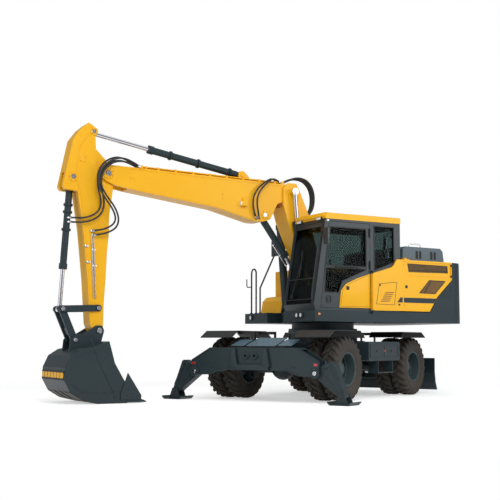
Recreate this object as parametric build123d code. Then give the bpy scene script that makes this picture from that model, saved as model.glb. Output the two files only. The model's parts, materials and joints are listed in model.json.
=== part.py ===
from build123d import *
import os
from math import atan2, cos, degrees, hypot, pi, radians, sin

os.makedirs("parts", exist_ok=True)

# Wheeled excavator with a two-piece boom, in millimetres, +Z up, ground at Z = 0.
# The chassis lies along +X with its outriggers in front and the cab side on +Y.
# The superstructure is drawn in its own frame, +X towards the boom, and is turned
# by SWING_ANGLE about the slew centre, as it stands when it is parked.

# Placing of the two frames
SLEW_X = -1059.0
SLEW_Y = 397.0
SWING_ANGLE = -27.2

# Fits and gaps
RUN = 0.06          # radial running clearance of a pin in its bore
SEAT = 0.3          # gap of two faces that bear on each other
SIDE_GAP = 5.0      # side clearance of a moving piece
ROD_FIT = 0.5       # radial clearance of a piston rod in its barrel
EYE_NECK = 22.0     # from a barrel's eye to its tube
BARREL_BOTTOM = 25.0

# Wheels
WHEEL_RADIUS = 525.0
FRONT_AXLE_X = 1373.0
REAR_AXLE_X = -1224.0
OUTER_TYRE_FACE = 1250.0
TYRE_WIDTH = 278.0
TYRE_GAP = 42.0
TYRE_SHOULDER = 60.0
RIM_RADIUS = 280.0
RIM_WALL = 22.0
HUB_RADIUS = 150.0
KINGPIN_Y = 660.0
KINGPIN_DIAMETER = 60.0

# Chassis
FRAME_HALF_WIDTH = 330.0
WING_HALF_WIDTH = 560.0
FRAME_TOP = 985.0
FRAME_BELLY = 520.0
FRAME_FRONT = 2090.0
FRAME_REAR = -1700.0
SLEW_BASE_RADIUS = 620.0
SLEW_SPLIT_Z = 1200.0
# eyes for lashing the machine down, as (x, z)
TIE_DOWN = (620.0, 500.0)
TIE_DOWN_BORE = 60.0
TIE_DOWN_PLATE = 35.0

# Outriggers
BEAM_DEPTH = 240.0
BEAM_PLATE = 30.0
BEAM_TOP = 868.0
BEAM_SHOULDER_Y = 840.0
BEAM_END_Y = 1215.0
BEAM_END_TOP = 665.0
BEAM_ROOM_Y = 700.0
LEG_OPENING_Y = 900.0
LEG_PIVOT_Y = 1150.0
LEG_PIVOT_Z = 475.0
LEG_HEAD_Y = 1400.0
LEG_HEAD_Z = 600.0
PAD_PIN_Y = 1590.0
PAD_PIN_Z = 140.0
LEG_THICKNESS = 140.0
LEG_PIN = 60.0
PAD_WIDTH = 400.0
PAD_LENGTH = 360.0
PAD_PLATE = 18.0

# Blade
BLADE_PIVOT_X = -1600.0
BLADE_PIVOT_Z = 560.0
BLADE_LUG_X = -2050.0
BLADE_LUG_Z = 400.0
BLADE_CYLINDER_X = -1775.0
BLADE_CYLINDER_Z = 900.0
BLADE_HALF_WIDTH = 1240.0
BLADE_ARM_Y = 300.0
BLADE_BOTTOM = 60.0
BLADE_TOP = 665.0

# Superstructure deck
DECK_BOTTOM = 1301.0
DECK_TOP = 1487.0
DECK_REAR = -2310.0
TAIL_RADIUS = 300.0
DECK_LEFT_FRONT = 984.0
DECK_RIGHT_FRONT = 914.0
DECK_HALF_WIDTH = 1248.0

# Boom plane, and its pins as (x, z)
BOOM_Y = -100.0
FOOT = (80.0, 1750.0)
HINGE = (711.0, 3630.0)
LIFT_BASE = (540.0, 1580.0)
ADJUST_TOP = (1257.0, 3189.0)
ADJUST_BASE = (480.0, 2165.0)
ARM_CYLINDER_BASE = (1660.0, 3875.0)
ARM_CYLINDER_ROD = (4433.0, 4332.0)
BOOM_TIP = (4185.0, 3670.0)
BUCKET_CYLINDER_BASE = (4766.0, 3568.0)
ROCKER_PIN = (4314.0, 1488.0)
ROCKER_END = (4900.0, 1467.0)
BUCKET_PIN = (4297.0, 1130.0)
LINK_PIN = (4690.0, 984.0)
PIN_DIAMETER = 90.0
SMALL_PIN = 65.0

# Half widths of the working equipment, measured from the boom plane
UPPER_BOOM_HALF = 170.0
FORK_PLATE = 30.0
LIFT_OFFSET = 290.0
ADJUST_EAR_INNER = 46.0
ADJUST_RECESS = 101.0      # the room that the adjusting cylinder's eye needs as it drifts
ARM_HALF = 145.0
ARM_HUMP_HALF = 114.0
ROCKER_PLATE = 25.0
LINK_HALF = 140.0
BUCKET_HALF = 550.0
BUCKET_PLATE = 22.0
BUCKET_EAR = 30.0

# Cab
CAB_INNER_Y = 300.0
CAB_OUTER_Y = 1250.0
CAB_WALL = 45.0
CAB_REAR = -800.0
CAB_FRONT_LOW = 1010.0
CAB_FRONT_HIGH = 770.0
CAB_SILL_Z = 1590.0
CAB_HEAD_Z = 3028.0
ROOF_TOP = 3130.0
DOOR_REAR = -145.0
GLASS = 6.0
HINGE_OFFSET = 14.0
HINGE_RADIUS = 12.0
HINGE_PIN = 12.0
CAB_HINGES = (2270.0, 2830.0)
CAB_HINGE_LENGTH = 90.0

# Bodywork behind the cab
BODY_TOP = 2400.0
SIDE_PANEL = 40.0
FRONT_DOOR_REAR = -845.0
REAR_DOOR_REAR = -1975.0
HOOD_FRONT = -1120.0
HOOD_REAR = -2080.0
HOOD_TOP = 2685.0
HOOD_HALF_WIDTH = 920.0
RAIL = 30.0
REAR_HINGE_X = -1945.0
REAR_HINGE_Z = 2240.0
REAR_HINGE_LENGTH = 150.0
SIDE_HINGE_X = -167.0
SIDE_HINGE_Y = 1298.0
HOOD_HINGE_X = -2096.0
HOOD_HINGE_Z = 2420.0


def block(x0, x1, y0, y1, z0, z1):
    """A box between two corners."""
    return Pos((x0 + x1) / 2, (y0 + y1) / 2, (z0 + z1) / 2) * Box(x1 - x0, y1 - y0, z1 - z0)


def side_plate(points, y0, y1, radius=0.0):
    """An outline in X and Z, carried from y0 to y1, with its corners rounded."""
    face = make_face(Polyline(*points, close=True))
    if radius:
        face = fillet(face.vertices(), radius)
    return extrude(Plane.XZ.offset(-y1) * face, y1 - y0)


def cross_plate(points, x0, x1, radius=0.0):
    """An outline in Y and Z, carried from x0 to x1."""
    face = make_face(Polyline(*points, close=True))
    if radius:
        face = fillet(face.vertices(), radius)
    return extrude(Plane.YZ.offset(x0) * face, x1 - x0)


def flat_plate(points, z0, z1, radius=0.0):
    """An outline in X and Y, carried from z0 to z1."""
    face = make_face(Polyline(*points, close=True))
    if radius:
        face = fillet(face.vertices(), radius)
    return extrude(Plane.XY.offset(z0) * face, z1 - z0)


def cross_pin(x, z, y0, y1, diameter):
    """A round bar along Y."""
    return Pos(x, (y0 + y1) / 2, z) * Rot(90, 0, 0) * Cylinder(diameter / 2, y1 - y0)


def long_pin(y, z, x0, x1, diameter):
    """A round bar along X."""
    return Pos((x0 + x1) / 2, y, z) * Rot(0, 90, 0) * Cylinder(diameter / 2, x1 - x0)


def round_bar(start, end, diameter):
    """A round bar from one point to another."""
    start, end = Vector(*start), Vector(*end)
    along = end - start
    plane = Plane(origin=start, z_dir=along.normalized())
    return plane * Pos(0, 0, along.length / 2) * Cylinder(diameter / 2, along.length)


def bent_tube(points, diameter, bend):
    """A round tube along a route, with its corners bent to one radius."""
    route = FilletPolyline(*points, radius=bend) if len(points) > 2 else Line(*points)
    return sweep(Plane(origin=route @ 0, z_dir=route % 0) * Circle(diameter / 2), path=route)


def strap(first, second, y0, y1, radius, second_radius=None):
    """A plate in X and Z with round ends about two points, from y0 to y1."""
    other = radius if second_radius is None else second_radius
    circles = Pos(*first) * Circle(radius) + Pos(*second) * Circle(other)
    return extrude(Plane.XZ.offset(-y1) * make_hull(circles.edges()), y1 - y0)


def both_sides(make, inner, outer, middle=0.0):
    """The same piece between two distances on either side of a middle plane."""
    return make(middle + inner, middle + outer) + make(middle - outer, middle - inner)


def mirrored(shape):
    """The shape and its mirror image across Y = 0."""
    return shape + mirror(shape, Plane.XZ)


# Wheels and axles

def tyre(y_middle):
    """One tyre as a turned body, out to the tips of its lugs."""
    half = TYRE_WIDTH / 2
    profile = make_face(Polyline(
        (RIM_RADIUS - 5, -half + 30), (WHEEL_RADIUS - 130, -half), (WHEEL_RADIUS - TYRE_SHOULDER, -half + 12),
        (WHEEL_RADIUS, -half + TYRE_SHOULDER), (WHEEL_RADIUS, half - TYRE_SHOULDER),
        (WHEEL_RADIUS - TYRE_SHOULDER, half - 12), (WHEEL_RADIUS - 130, half), (RIM_RADIUS - 5, half - 30),
        close=True))
    turned = revolve(Plane.XY * profile, Axis.Y)
    return Pos(0, y_middle, 0) * turned


def ring_y(y0, y1, outer, inner):
    """A tube about the wheel's axle."""
    return cross_pin(0, 0, y0, y1, 2 * outer) - cross_pin(0, 0, y0 - 1, y1 + 1, 2 * inner)


def rim(y_middle, disc_y):
    """One rim: a barrel that carries the tyre, and a narrower one that reaches the disc."""
    half = TYRE_WIDTH / 2 - 32
    outer = RIM_RADIUS - 5 - SEAT
    barrel = ring_y(y_middle - half, y_middle + half, outer, outer - RIM_WALL)
    near = y_middle - half + 60 if disc_y < y_middle else y_middle + half - 60
    low, high = sorted((near, disc_y))
    neck = ring_y(low, high, outer - RIM_WALL + 1, outer - 2 * RIM_WALL)
    web = cross_pin(0, 0, disc_y - RIM_WALL / 2, disc_y + RIM_WALL / 2, 2 * (outer - RIM_WALL))
    return barrel + neck + web


OUTER_TYRE_Y = OUTER_TYRE_FACE - TYRE_WIDTH / 2
INNER_TYRE_Y = OUTER_TYRE_Y - TYRE_WIDTH - TYRE_GAP
DISC_Y = (OUTER_TYRE_Y + INNER_TYRE_Y) / 2 - 15


def wheel_at(shape, side, x):
    """A wheel piece drawn for the +Y side, placed on its axle."""
    placed = shape if side > 0 else mirror(shape, Plane.XZ)
    return Pos(x, 0, WHEEL_RADIUS) * placed


def twin_tyres():
    return tyre(OUTER_TYRE_Y) + tyre(INNER_TYRE_Y)


def twin_rims():
    """Both rims, bolted disc to disc, and the hub drum between and inside them."""
    rims = rim(OUTER_TYRE_Y, DISC_Y) + rim(INNER_TYRE_Y, DISC_Y)
    drum = cross_pin(0, 0, DISC_Y - 110, DISC_Y + 130, 2 * HUB_RADIUS)
    cap = cross_pin(0, 0, DISC_Y + 120, DISC_Y + 175, HUB_RADIUS * 1.2)
    bore = cross_pin(0, 0, DISC_Y - 120, DISC_Y + 90, SPINDLE_DIAMETER + 2 * RUN)
    return rims + drum + cap - bore


SPINDLE_DIAMETER = 110.0
SPINDLE_END = DISC_Y + 85


def front_axle():
    """Beam with its differential, ending in forks that hold the kingpins."""
    fork_half = 30.0
    arm = cross_pin(0, 0, 0, KINGPIN_Y - 105, 170)
    top = block(-70, 70, KINGPIN_Y - 130, KINGPIN_Y + 45, 140, 175)
    bottom = block(-70, 70, KINGPIN_Y - 130, KINGPIN_Y + 45, -175, -140)
    back = block(-70, 70, KINGPIN_Y - 130, KINGPIN_Y - 100, -175, 175)
    bore = Pos(0, KINGPIN_Y, 0) * Cylinder(KINGPIN_DIAMETER / 2 + RUN, 500)
    half = arm + top + bottom + back - bore
    bulb = Sphere(200) & block(-200, 200, -160, 160, -200, 200)
    seat = block(-150, 150, -fork_half * 6, fork_half * 6, 60, FRAME_OVER_AXLE - WHEEL_RADIUS)
    return Pos(FRONT_AXLE_X, 0, WHEEL_RADIUS) * (mirrored(half) + bulb + seat)


FRAME_OVER_AXLE = 740.0


def knuckle(side):
    """Steering knuckle: a block on the kingpin with the wheel's spindle."""
    body = block(-62, 62, KINGPIN_Y - 50, KINGPIN_Y + 55, -140 + SIDE_GAP, 140 - SIDE_GAP)
    pin = Pos(0, KINGPIN_Y, 0) * Cylinder(KINGPIN_DIAMETER / 2, 348)
    spindle = cross_pin(0, 0, KINGPIN_Y, SPINDLE_END, SPINDLE_DIAMETER)
    steer_arm = block(-175, -55, KINGPIN_Y - 50, KINGPIN_Y - 10, -60, -25)
    return wheel_at(body + pin + spindle + steer_arm, side, FRONT_AXLE_X)


def rear_axle():
    """Rigid drive axle with its transfer box under the frame."""
    half = cross_pin(0, 0, 0, DISC_Y - 120, 190) + cross_pin(0, 0, DISC_Y - 130, SPINDLE_END, SPINDLE_DIAMETER)
    bulb = Sphere(215) & block(-215, 215, -170, 170, -215, 215)
    seat = block(-170, 170, -180, 180, 60, FRAME_OVER_AXLE - WHEEL_RADIUS)
    return Pos(REAR_AXLE_X, 0, WHEEL_RADIUS) * (mirrored(half) + bulb + seat)


# Chassis

def chassis_frame():
    outline = [
        (FRAME_REAR, 640), (REAR_AXLE_X - 260, FRAME_OVER_AXLE), (REAR_AXLE_X + 300, FRAME_OVER_AXLE),
        (REAR_AXLE_X + 420, FRAME_BELLY), (FRONT_AXLE_X - 420, FRAME_BELLY),
        (FRONT_AXLE_X - 280, FRAME_OVER_AXLE), (FRONT_AXLE_X + 300, FRAME_OVER_AXLE),
        (FRONT_AXLE_X + 420, 560), (FRAME_FRONT, 560), (FRAME_FRONT, 850), (FRONT_AXLE_X + 200, 940),
        (620, FRAME_TOP), (-620, FRAME_TOP), (FRAME_REAR, 960),
    ]
    spine = side_plate(outline, -FRAME_HALF_WIDTH, FRAME_HALF_WIDTH)
    ring = Pos(0, 0, (FRAME_TOP + SLEW_SPLIT_Z - SEAT) / 2 - 1) * Cylinder(
        SLEW_BASE_RADIUS, SLEW_SPLIT_Z - SEAT - FRAME_TOP + 2)
    wings = block(-560, 560, -WING_HALF_WIDTH, WING_HALF_WIDTH, FRAME_BELLY + 120, FRAME_TOP)
    lugs = both_sides(lambda a, b: strap((BLADE_PIVOT_X, BLADE_PIVOT_Z), (FRAME_REAR + 60, 700), a, b, 70),
                      BLADE_ARM_Y - 75, BLADE_ARM_Y - 45)
    outer = both_sides(lambda a, b: strap((BLADE_PIVOT_X, BLADE_PIVOT_Z), (FRAME_REAR + 60, 700), a, b, 70),
                       BLADE_ARM_Y + 45, BLADE_ARM_Y + 75)
    ears = both_sides(lambda a, b: strap((BLADE_CYLINDER_X, BLADE_CYLINDER_Z), (FRAME_REAR + 60, 880), a, b, 48),
                      BLADE_CYLINDER_Y - 55, BLADE_CYLINDER_Y - 35)
    ears += both_sides(lambda a, b: strap((BLADE_CYLINDER_X, BLADE_CYLINDER_Z), (FRAME_REAR + 60, 880), a, b, 48),
                       BLADE_CYLINDER_Y + 35, BLADE_CYLINDER_Y + 55)
    ears += both_sides(lambda a, b: cross_pin(BLADE_CYLINDER_X, BLADE_CYLINDER_Z, a, b, SMALL_PIN),
                       BLADE_CYLINDER_Y - 60, BLADE_CYLINDER_Y + 60)
    ears += both_sides(lambda a, b: cross_pin(BLADE_PIVOT_X, BLADE_PIVOT_Z, a, b, LEG_PIN),
                       BLADE_ARM_Y - 80, BLADE_ARM_Y + 80)
    tie_downs = both_sides(lambda a, b: strap(TIE_DOWN, (TIE_DOWN[0] + 90, TIE_DOWN[1] + 60), a, b, 55),
                           FRAME_HALF_WIDTH - 20, FRAME_HALF_WIDTH + TIE_DOWN_PLATE)
    tie_downs -= cross_pin(TIE_DOWN[0], TIE_DOWN[1], -500, 500, TIE_DOWN_BORE)
    spine -= cross_pin(TIE_DOWN[0], TIE_DOWN[1], -500, 500, 2 * TIE_DOWN_BORE)
    cross = block(FRAME_REAR, FRAME_REAR + 160, -BLADE_ARM_Y - 75, BLADE_ARM_Y + 75, 680, 960)
    return spine + ring + wings + cross + lugs + outer + ears + tie_downs


def outrigger_beam():
    """Cross beam at the front: a box, open above and below at both ends where the legs fold."""
    x0 = BEAM_FRONT - BEAM_DEPTH
    half = [(0, BEAM_TOP), (BEAM_SHOULDER_Y, BEAM_TOP), (BEAM_END_Y, BEAM_END_TOP), (BEAM_END_Y, 420),
            (1030, 420), (BEAM_SHOULDER_Y, 425), (620, 506), (0, 506)]
    other = [(-y, z) for y, z in reversed(half[1:-1])]
    solid = cross_plate(half + other, x0, BEAM_FRONT)
    room = cross_plate([(BEAM_ROOM_Y, BEAM_TOP - BEAM_PLATE), (LEG_OPENING_Y, BEAM_TOP - BEAM_PLATE),
                        (LEG_OPENING_Y, BEAM_TOP + 50), (BEAM_END_Y + 50, BEAM_TOP + 50),
                        (BEAM_END_Y + 50, 300), (BEAM_ROOM_Y, 300)], x0 + BEAM_PLATE, BEAM_FRONT - BEAM_PLATE)
    pins = long_pin(LEG_PIVOT_Y, LEG_PIVOT_Z, x0 + 5, BEAM_FRONT - 5, LEG_PIN)
    return solid - mirrored(room) + mirrored(pins)


BEAM_FRONT = FRAME_FRONT + BEAM_DEPTH + SEAT
LEG_X = BEAM_FRONT - BEAM_DEPTH / 2


def leg(side):
    """Outrigger leg, from its pivot in the beam to the pad."""
    half = LEG_THICKNESS / 2
    hub = Pos(LEG_PIVOT_Y, LEG_PIVOT_Z) * Circle(62)
    head = Pos(LEG_HEAD_Y, LEG_HEAD_Z) * Circle(60)
    foot = Pos(PAD_PIN_Y, PAD_PIN_Z) * Circle(55)
    outline = make_hull(hub.edges() + head.edges() + foot.edges())
    plate = extrude(Plane.YZ.offset(LEG_X - half) * outline, LEG_THICKNESS)
    bores = long_pin(LEG_PIVOT_Y, LEG_PIVOT_Z, LEG_X - 200, LEG_X + 200, LEG_PIN + 2 * RUN)
    bores += long_pin(PAD_PIN_Y, PAD_PIN_Z, LEG_X - 200, LEG_X + 200, LEG_PIN + 2 * RUN)
    shape = plate - bores
    return shape if side > 0 else mirror(shape, Plane.XZ)


def pad(side):
    """Foot plate with its edges turned up and two lugs about the leg."""
    y0, y1 = PAD_PIN_Y - PAD_WIDTH / 2, PAD_PIN_Y + PAD_WIDTH / 2
    x0, x1 = LEG_X - PAD_LENGTH / 2, LEG_X + PAD_LENGTH / 2
    plate = cross_plate([(y0, 40), (y0 + 45, 0), (y1 - 45, 0), (y1, 40), (y1, 40 + PAD_PLATE),
                         (y1 - 50, PAD_PLATE), (y0 + 50, PAD_PLATE), (y0, 40 + PAD_PLATE)], x0, x1)
    inner = LEG_THICKNESS / 2 + SIDE_GAP
    lug = [(PAD_PIN_Y - 110, PAD_PLATE - 2), (PAD_PIN_Y + 110, PAD_PLATE - 2),
           (PAD_PIN_Y + 45, PAD_PIN_Z + 45), (PAD_PIN_Y - 45, PAD_PIN_Z + 45)]
    lugs = cross_plate(lug, LEG_X + inner, LEG_X + inner + 20) + cross_plate(lug, LEG_X - inner - 20, LEG_X - inner)
    pin = long_pin(PAD_PIN_Y, PAD_PIN_Z, LEG_X - inner - 30, LEG_X + inner + 30, LEG_PIN)
    shape = plate + lugs + pin
    return shape if side > 0 else mirror(shape, Plane.XZ)


def fenders():
    """Bent plates over the front wheels, and over the rear ones beside the boxes."""
    t = 12.0
    pieces = []
    # front end, front knee, rear knee, rear end, as x, and the drop of each end
    for x0, x1, x2, x3, drop in ((800, 960, 1860, 2040, 110), (-1730, -1560, -740, -660, 90)):
        top = 1150.0
        outline = [(x0, top - drop), (x1, top), (x2, top), (x3, top - drop),
                   (x3 - 4, top - drop - t), (x2 - 4, top - t), (x1 + 4, top - t), (x0 + 4, top - drop - t)]
        pieces.append(side_plate(outline, 600, 1245))
        for x in (x1 + 130, x2 - 130):
            pieces.append(block(x - 30, x + 30, FRAME_HALF_WIDTH + SEAT, 660, 1090, top - t + 1))
            pieces.append(block(x - 30, x + 30, FRAME_HALF_WIDTH + SEAT, FRAME_HALF_WIDTH + 15, 830, 1100))
    shape = pieces[0]
    for piece in pieces[1:]:
        shape += piece
    return mirrored(shape)


def side_boxes():
    """Tool box and tank between the wheels, each with a step."""
    box = side_plate([(-620, 640), (620, 640), (620, 970), (-620, 970)], WING_HALF_WIDTH + SEAT, 1225, 40)
    step = block(-300, 300, 1060, 1240, 430, 450)
    hangers = block(-300, -285, 1060, 1240, 445, 645) + block(285, 300, 1060, 1240, 445, 645)
    return mirrored(box + step + hangers)


def blade():
    """Rear dozer blade with its two lift arms."""
    curve = [(-2300, BLADE_BOTTOM), (-2250, BLADE_BOTTOM), (-2190, 200), (-2160, 400), (-2170, BLADE_TOP),
             (-2195, BLADE_TOP), (-2190, 400), (-2225, 200)]
    board = side_plate(curve, -BLADE_HALF_WIDTH, BLADE_HALF_WIDTH)
    back = side_plate([(-2185, 240), (-2135, 270), (-2135, 540), (-2185, 600)], -700, 700)
    arms = both_sides(lambda a, b: side_plate(
        [(BLADE_PIVOT_X + 60, BLADE_PIVOT_Z - 55), (BLADE_PIVOT_X + 60, BLADE_PIVOT_Z + 55),
         (BLADE_PIVOT_X - 60, BLADE_PIVOT_Z + 55), (-2110, 400), (-2180, 400), (-2180, 270), (-2110, 270)],
        a, b), BLADE_ARM_Y - 40, BLADE_ARM_Y + 40)
    lugs = both_sides(lambda a, b: strap((BLADE_LUG_X, BLADE_LUG_Z), (-2130, 400), a, b, 45),
                      BLADE_CYLINDER_Y + 35, BLADE_CYLINDER_Y + 55)
    inner = both_sides(lambda a, b: strap((BLADE_LUG_X, BLADE_LUG_Z), (-2130, 400), a, b, 45),
                       BLADE_CYLINDER_Y - 55, BLADE_CYLINDER_Y - 35)
    bores = cross_pin(BLADE_PIVOT_X, BLADE_PIVOT_Z, -500, 500, LEG_PIN + 2 * RUN)
    return board + back + arms + lugs + inner - bores


BLADE_CYLINDER_Y = 130.0


# Cylinders

def barrel(base, rod_pin, length, outer, rod, eye_half, eye_radius, y):
    """A cylinder's barrel in the boom plane: its eye at the base pin, then the tube."""
    angle = degrees(atan2(rod_pin[1] - base[1], rod_pin[0] - base[0]))
    start = eye_radius + EYE_NECK
    tube = Pos((start + length) / 2, 0, 0) * Rot(0, 90, 0) * Cylinder(outer / 2, length - start)
    neck = block(0, start + 5, -eye_half, eye_half, -0.7 * eye_radius, 0.7 * eye_radius)
    gland = Pos(length - 45, 0, 0) * Rot(0, 90, 0) * Cylinder(outer / 2 + 12, 90)
    eye = Rot(90, 0, 0) * Cylinder(eye_radius, 2 * eye_half)
    bottom = start + BARREL_BOTTOM
    bore = Pos((length + bottom) / 2 + 1, 0, 0) * Rot(0, 90, 0) * Cylinder(rod / 2 + ROD_FIT, length - bottom + 2)
    shape = tube + gland + eye + neck - bore
    shape -= Rot(90, 0, 0) * Cylinder(SMALL_PIN / 2 + RUN, 2 * eye_half + 2)
    return Pos(base[0], y, base[1]) * Rot(0, -angle, 0) * shape


def piston_rod(base, rod_pin, length, rod, eye_half, eye_radius, y, pin_half):
    """A piston rod that reaches back from its own eye, with a pin through the eye."""
    angle = degrees(atan2(rod_pin[1] - base[1], rod_pin[0] - base[0]))
    bar = Pos(-length / 2, 0, 0) * Rot(0, 90, 0) * Cylinder(rod / 2, length)
    eye = Rot(90, 0, 0) * Cylinder(eye_radius, 2 * eye_half)
    pin = Rot(90, 0, 0) * Cylinder(SMALL_PIN / 2, 2 * pin_half)
    return Pos(rod_pin[0], y, rod_pin[1]) * Rot(0, -angle, 0) * (bar + eye + pin)


# name: base pin, rod pin, barrel length, barrel diameter, rod diameter, rod length, eye half width, eye radius
LIFT = (LIFT_BASE, HINGE, 1520.0, 140.0, 80.0, 700.0, 34.0, 62.0)
ADJUST = (ADJUST_TOP, ADJUST_BASE, 885.0, 120.0, 75.0, 1060.0, 40.0, 55.0)
ARM_CYLINDER = (ARM_CYLINDER_BASE, ARM_CYLINDER_ROD, 1790.0, 120.0, 75.0, 1290.0, 44.0, 60.0)
BUCKET_CYLINDER = (BUCKET_CYLINDER_BASE, ROCKER_END, 1475.0, 108.0, 66.0, 1110.0, 42.0, 55.0)
BLADE_CYLINDER = ((BLADE_CYLINDER_X, BLADE_CYLINDER_Z), (BLADE_LUG_X, BLADE_LUG_Z), 370.0, 90.0, 50.0, 325.0, 30.0, 42.0)


def make_barrel(row, y):
    base, end, length, outer, rod, rod_length, eye_half, eye_radius = row
    return barrel(base, end, length, outer, rod, eye_half, eye_radius, y)


def make_rod(row, y):
    base, end, length, outer, rod, rod_length, eye_half, eye_radius = row
    return piston_rod(base, end, rod_length, rod, eye_half, eye_radius, y, eye_half + 3)


# Working equipment, drawn in the superstructure's frame

def plane_plate(points, inner, outer, radius=0.0):
    """An outline on both sides of the boom plane, from one distance to the other."""
    return both_sides(lambda a, b: side_plate(points, a, b, radius), inner, outer, BOOM_Y)


def plane_slab(points, half, radius=0.0):
    """An outline right across the boom plane."""
    return side_plate(points, BOOM_Y - half, BOOM_Y + half, radius)


def plane_pin(pin, half, diameter):
    return cross_pin(pin[0], pin[1], BOOM_Y - half, BOOM_Y + half, diameter)


def lower_boom():
    half = UPPER_BOOM_HALF + SIDE_GAP + FORK_PLATE
    outline = [(-45, 1760), (-10, 1640), (160, 1630), (215, 1790), (600, 2660), (800, 3090), (895, 3400),
               (895, 3690), (800, 3790), (620, 3790), (545, 3650), (355, 3232)]
    body = plane_slab(outline, half, 25)
    slot = cross_pin(HINGE[0], HINGE[1], BOOM_Y - UPPER_BOOM_HALF - SIDE_GAP, BOOM_Y + UPPER_BOOM_HALF + SIDE_GAP, 640)
    slot += block(HINGE[0] - 400, 1200, BOOM_Y - UPPER_BOOM_HALF - SIDE_GAP, BOOM_Y + UPPER_BOOM_HALF + SIDE_GAP,
                  HINGE[1] - 120, 4000)
    recess = plane_pin(ADJUST_BASE, ADJUST_EAR_INNER - 1, 2 * ADJUST_RECESS)
    shape = body - slot - recess + plane_pin(HINGE, half + 42, PIN_DIAMETER)
    ears = both_sides(lambda a, b: strap(ADJUST_BASE, (ADJUST_BASE[0] - 180, ADJUST_BASE[1] + 60), a, b, 60, 110),
                      ADJUST_EAR_INNER, ADJUST_EAR_INNER + FORK_PLATE, BOOM_Y)
    return shape + ears - plane_pin(FOOT, half + 5, PIN_DIAMETER + 2 * RUN)


def upper_boom():
    outline = [(575, 3560), (575, 3700), (650, 3775), (850, 3765), (3823, 3805), (4185, 3807), (4322, 3740),
               (4322, 3610), (4200, 3535), (4067, 3483), (3818, 3440), (2223, 3248), (1469, 3066), (1314, 3062),
               (1150, 3110), (1085, 3230), (1000, 3400), (900, 3440), (720, 3480)]
    body = plane_slab(outline, UPPER_BOOM_HALF, 24)
    tip_slot = block(3830, 4400, BOOM_Y - ARM_HUMP_HALF - SIDE_GAP, BOOM_Y + ARM_HUMP_HALF + SIDE_GAP, 3300, 4000)
    lobe_slot = side_plate([(900, 2950), (1330, 2950), (1330, 3250), (1290, 3280), (900, 3280)],
                           BOOM_Y - 68, BOOM_Y + 68)
    lugs = both_sides(lambda a, b: strap(ARM_CYLINDER_BASE, (ARM_CYLINDER_BASE[0] - 40, 3790), a, b, 75, 110),
                      48, 78, BOOM_Y)
    shape = body - tip_slot - lobe_slot + lugs
    shape -= plane_pin(HINGE, 300, PIN_DIAMETER + 2 * RUN)
    shape += plane_pin(ADJUST_TOP, UPPER_BOOM_HALF + 8, SMALL_PIN)
    shape += plane_pin(ARM_CYLINDER_BASE, 90, SMALL_PIN)
    return shape + plane_pin(BOOM_TIP, UPPER_BOOM_HALF + 15, PIN_DIAMETER)


def arm():
    plates = [(4526, 4470), (4423, 4410), (4395, 4052), (4370, 3900), (4370, 3400), (4300, 3100), (4147, 2750),
              (4181, 2356), (4195, 1966), (4219, 1578), (4225, 1231), (4225, 1130), (4297, 1060), (4390, 1100),
              (4446, 1240), (4500, 1955), (4585, 2723), (4690, 3340), (4904, 3360), (4938, 3416), (4778, 4184),
              (4658, 4350)]
    hump = [(4423, 4100), (4382, 4052), (4219, 3893), (4088, 3663), (4084, 3400), (4135, 3025), (4147, 2750),
            (4400, 2600), (4500, 3400)]
    shape = plane_slab(plates, ARM_HALF, 20) + plane_slab(hump, ARM_HUMP_HALF, 20)
    top_slot = block(4150, 4625, BOOM_Y - 50, BOOM_Y + 50, 4140, 4700)
    ear_slot = block(4690, 5000, BOOM_Y - 66, BOOM_Y + 66, 3250, 3640)
    ears_clear = both_sides(lambda a, b: cross_pin(BOOM_TIP[0], BOOM_TIP[1], a, b, 330),
                            ARM_HUMP_HALF, ARM_HALF + 5, BOOM_Y)
    shape = shape - top_slot - ear_slot - ears_clear
    shape -= plane_pin(BOOM_TIP, 200, PIN_DIAMETER + 2 * RUN)
    shape -= plane_pin(ROCKER_PIN, 200, SMALL_PIN + 2 * RUN)
    shape -= plane_pin(BUCKET_PIN, 200, PIN_DIAMETER + 2 * RUN)
    return shape + plane_pin(BUCKET_CYLINDER_BASE, ARM_HALF + 6, SMALL_PIN)


def rockers():
    inner = ARM_HALF + SIDE_GAP
    plates = both_sides(lambda a, b: strap(ROCKER_PIN, ROCKER_END, a, b, 52), inner, inner + ROCKER_PLATE, BOOM_Y)
    through = plane_pin(ROCKER_PIN, inner + ROCKER_PLATE + 18, SMALL_PIN)
    stubs = both_sides(lambda a, b: cross_pin(ROCKER_END[0], ROCKER_END[1], a, b, SMALL_PIN),
                       100, inner + ROCKER_PLATE + 18, BOOM_Y)
    return plates + through + stubs


def link():
    inner = 100.0
    plates = both_sides(lambda a, b: strap(ROCKER_END, LINK_PIN, a, b, 55), inner, LINK_HALF, BOOM_Y)
    middle = [(ROCKER_END[i] + 0.62 * (LINK_PIN[i] - ROCKER_END[i])) for i in range(2)]
    low = [(ROCKER_END[i] + 0.80 * (LINK_PIN[i] - ROCKER_END[i])) for i in range(2)]
    web = strap(middle, low, BOOM_Y - inner - 1, BOOM_Y + inner + 1, 30)
    bores = plane_pin(ROCKER_END, 200, SMALL_PIN + 2 * RUN)
    return plates + web - bores


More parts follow.
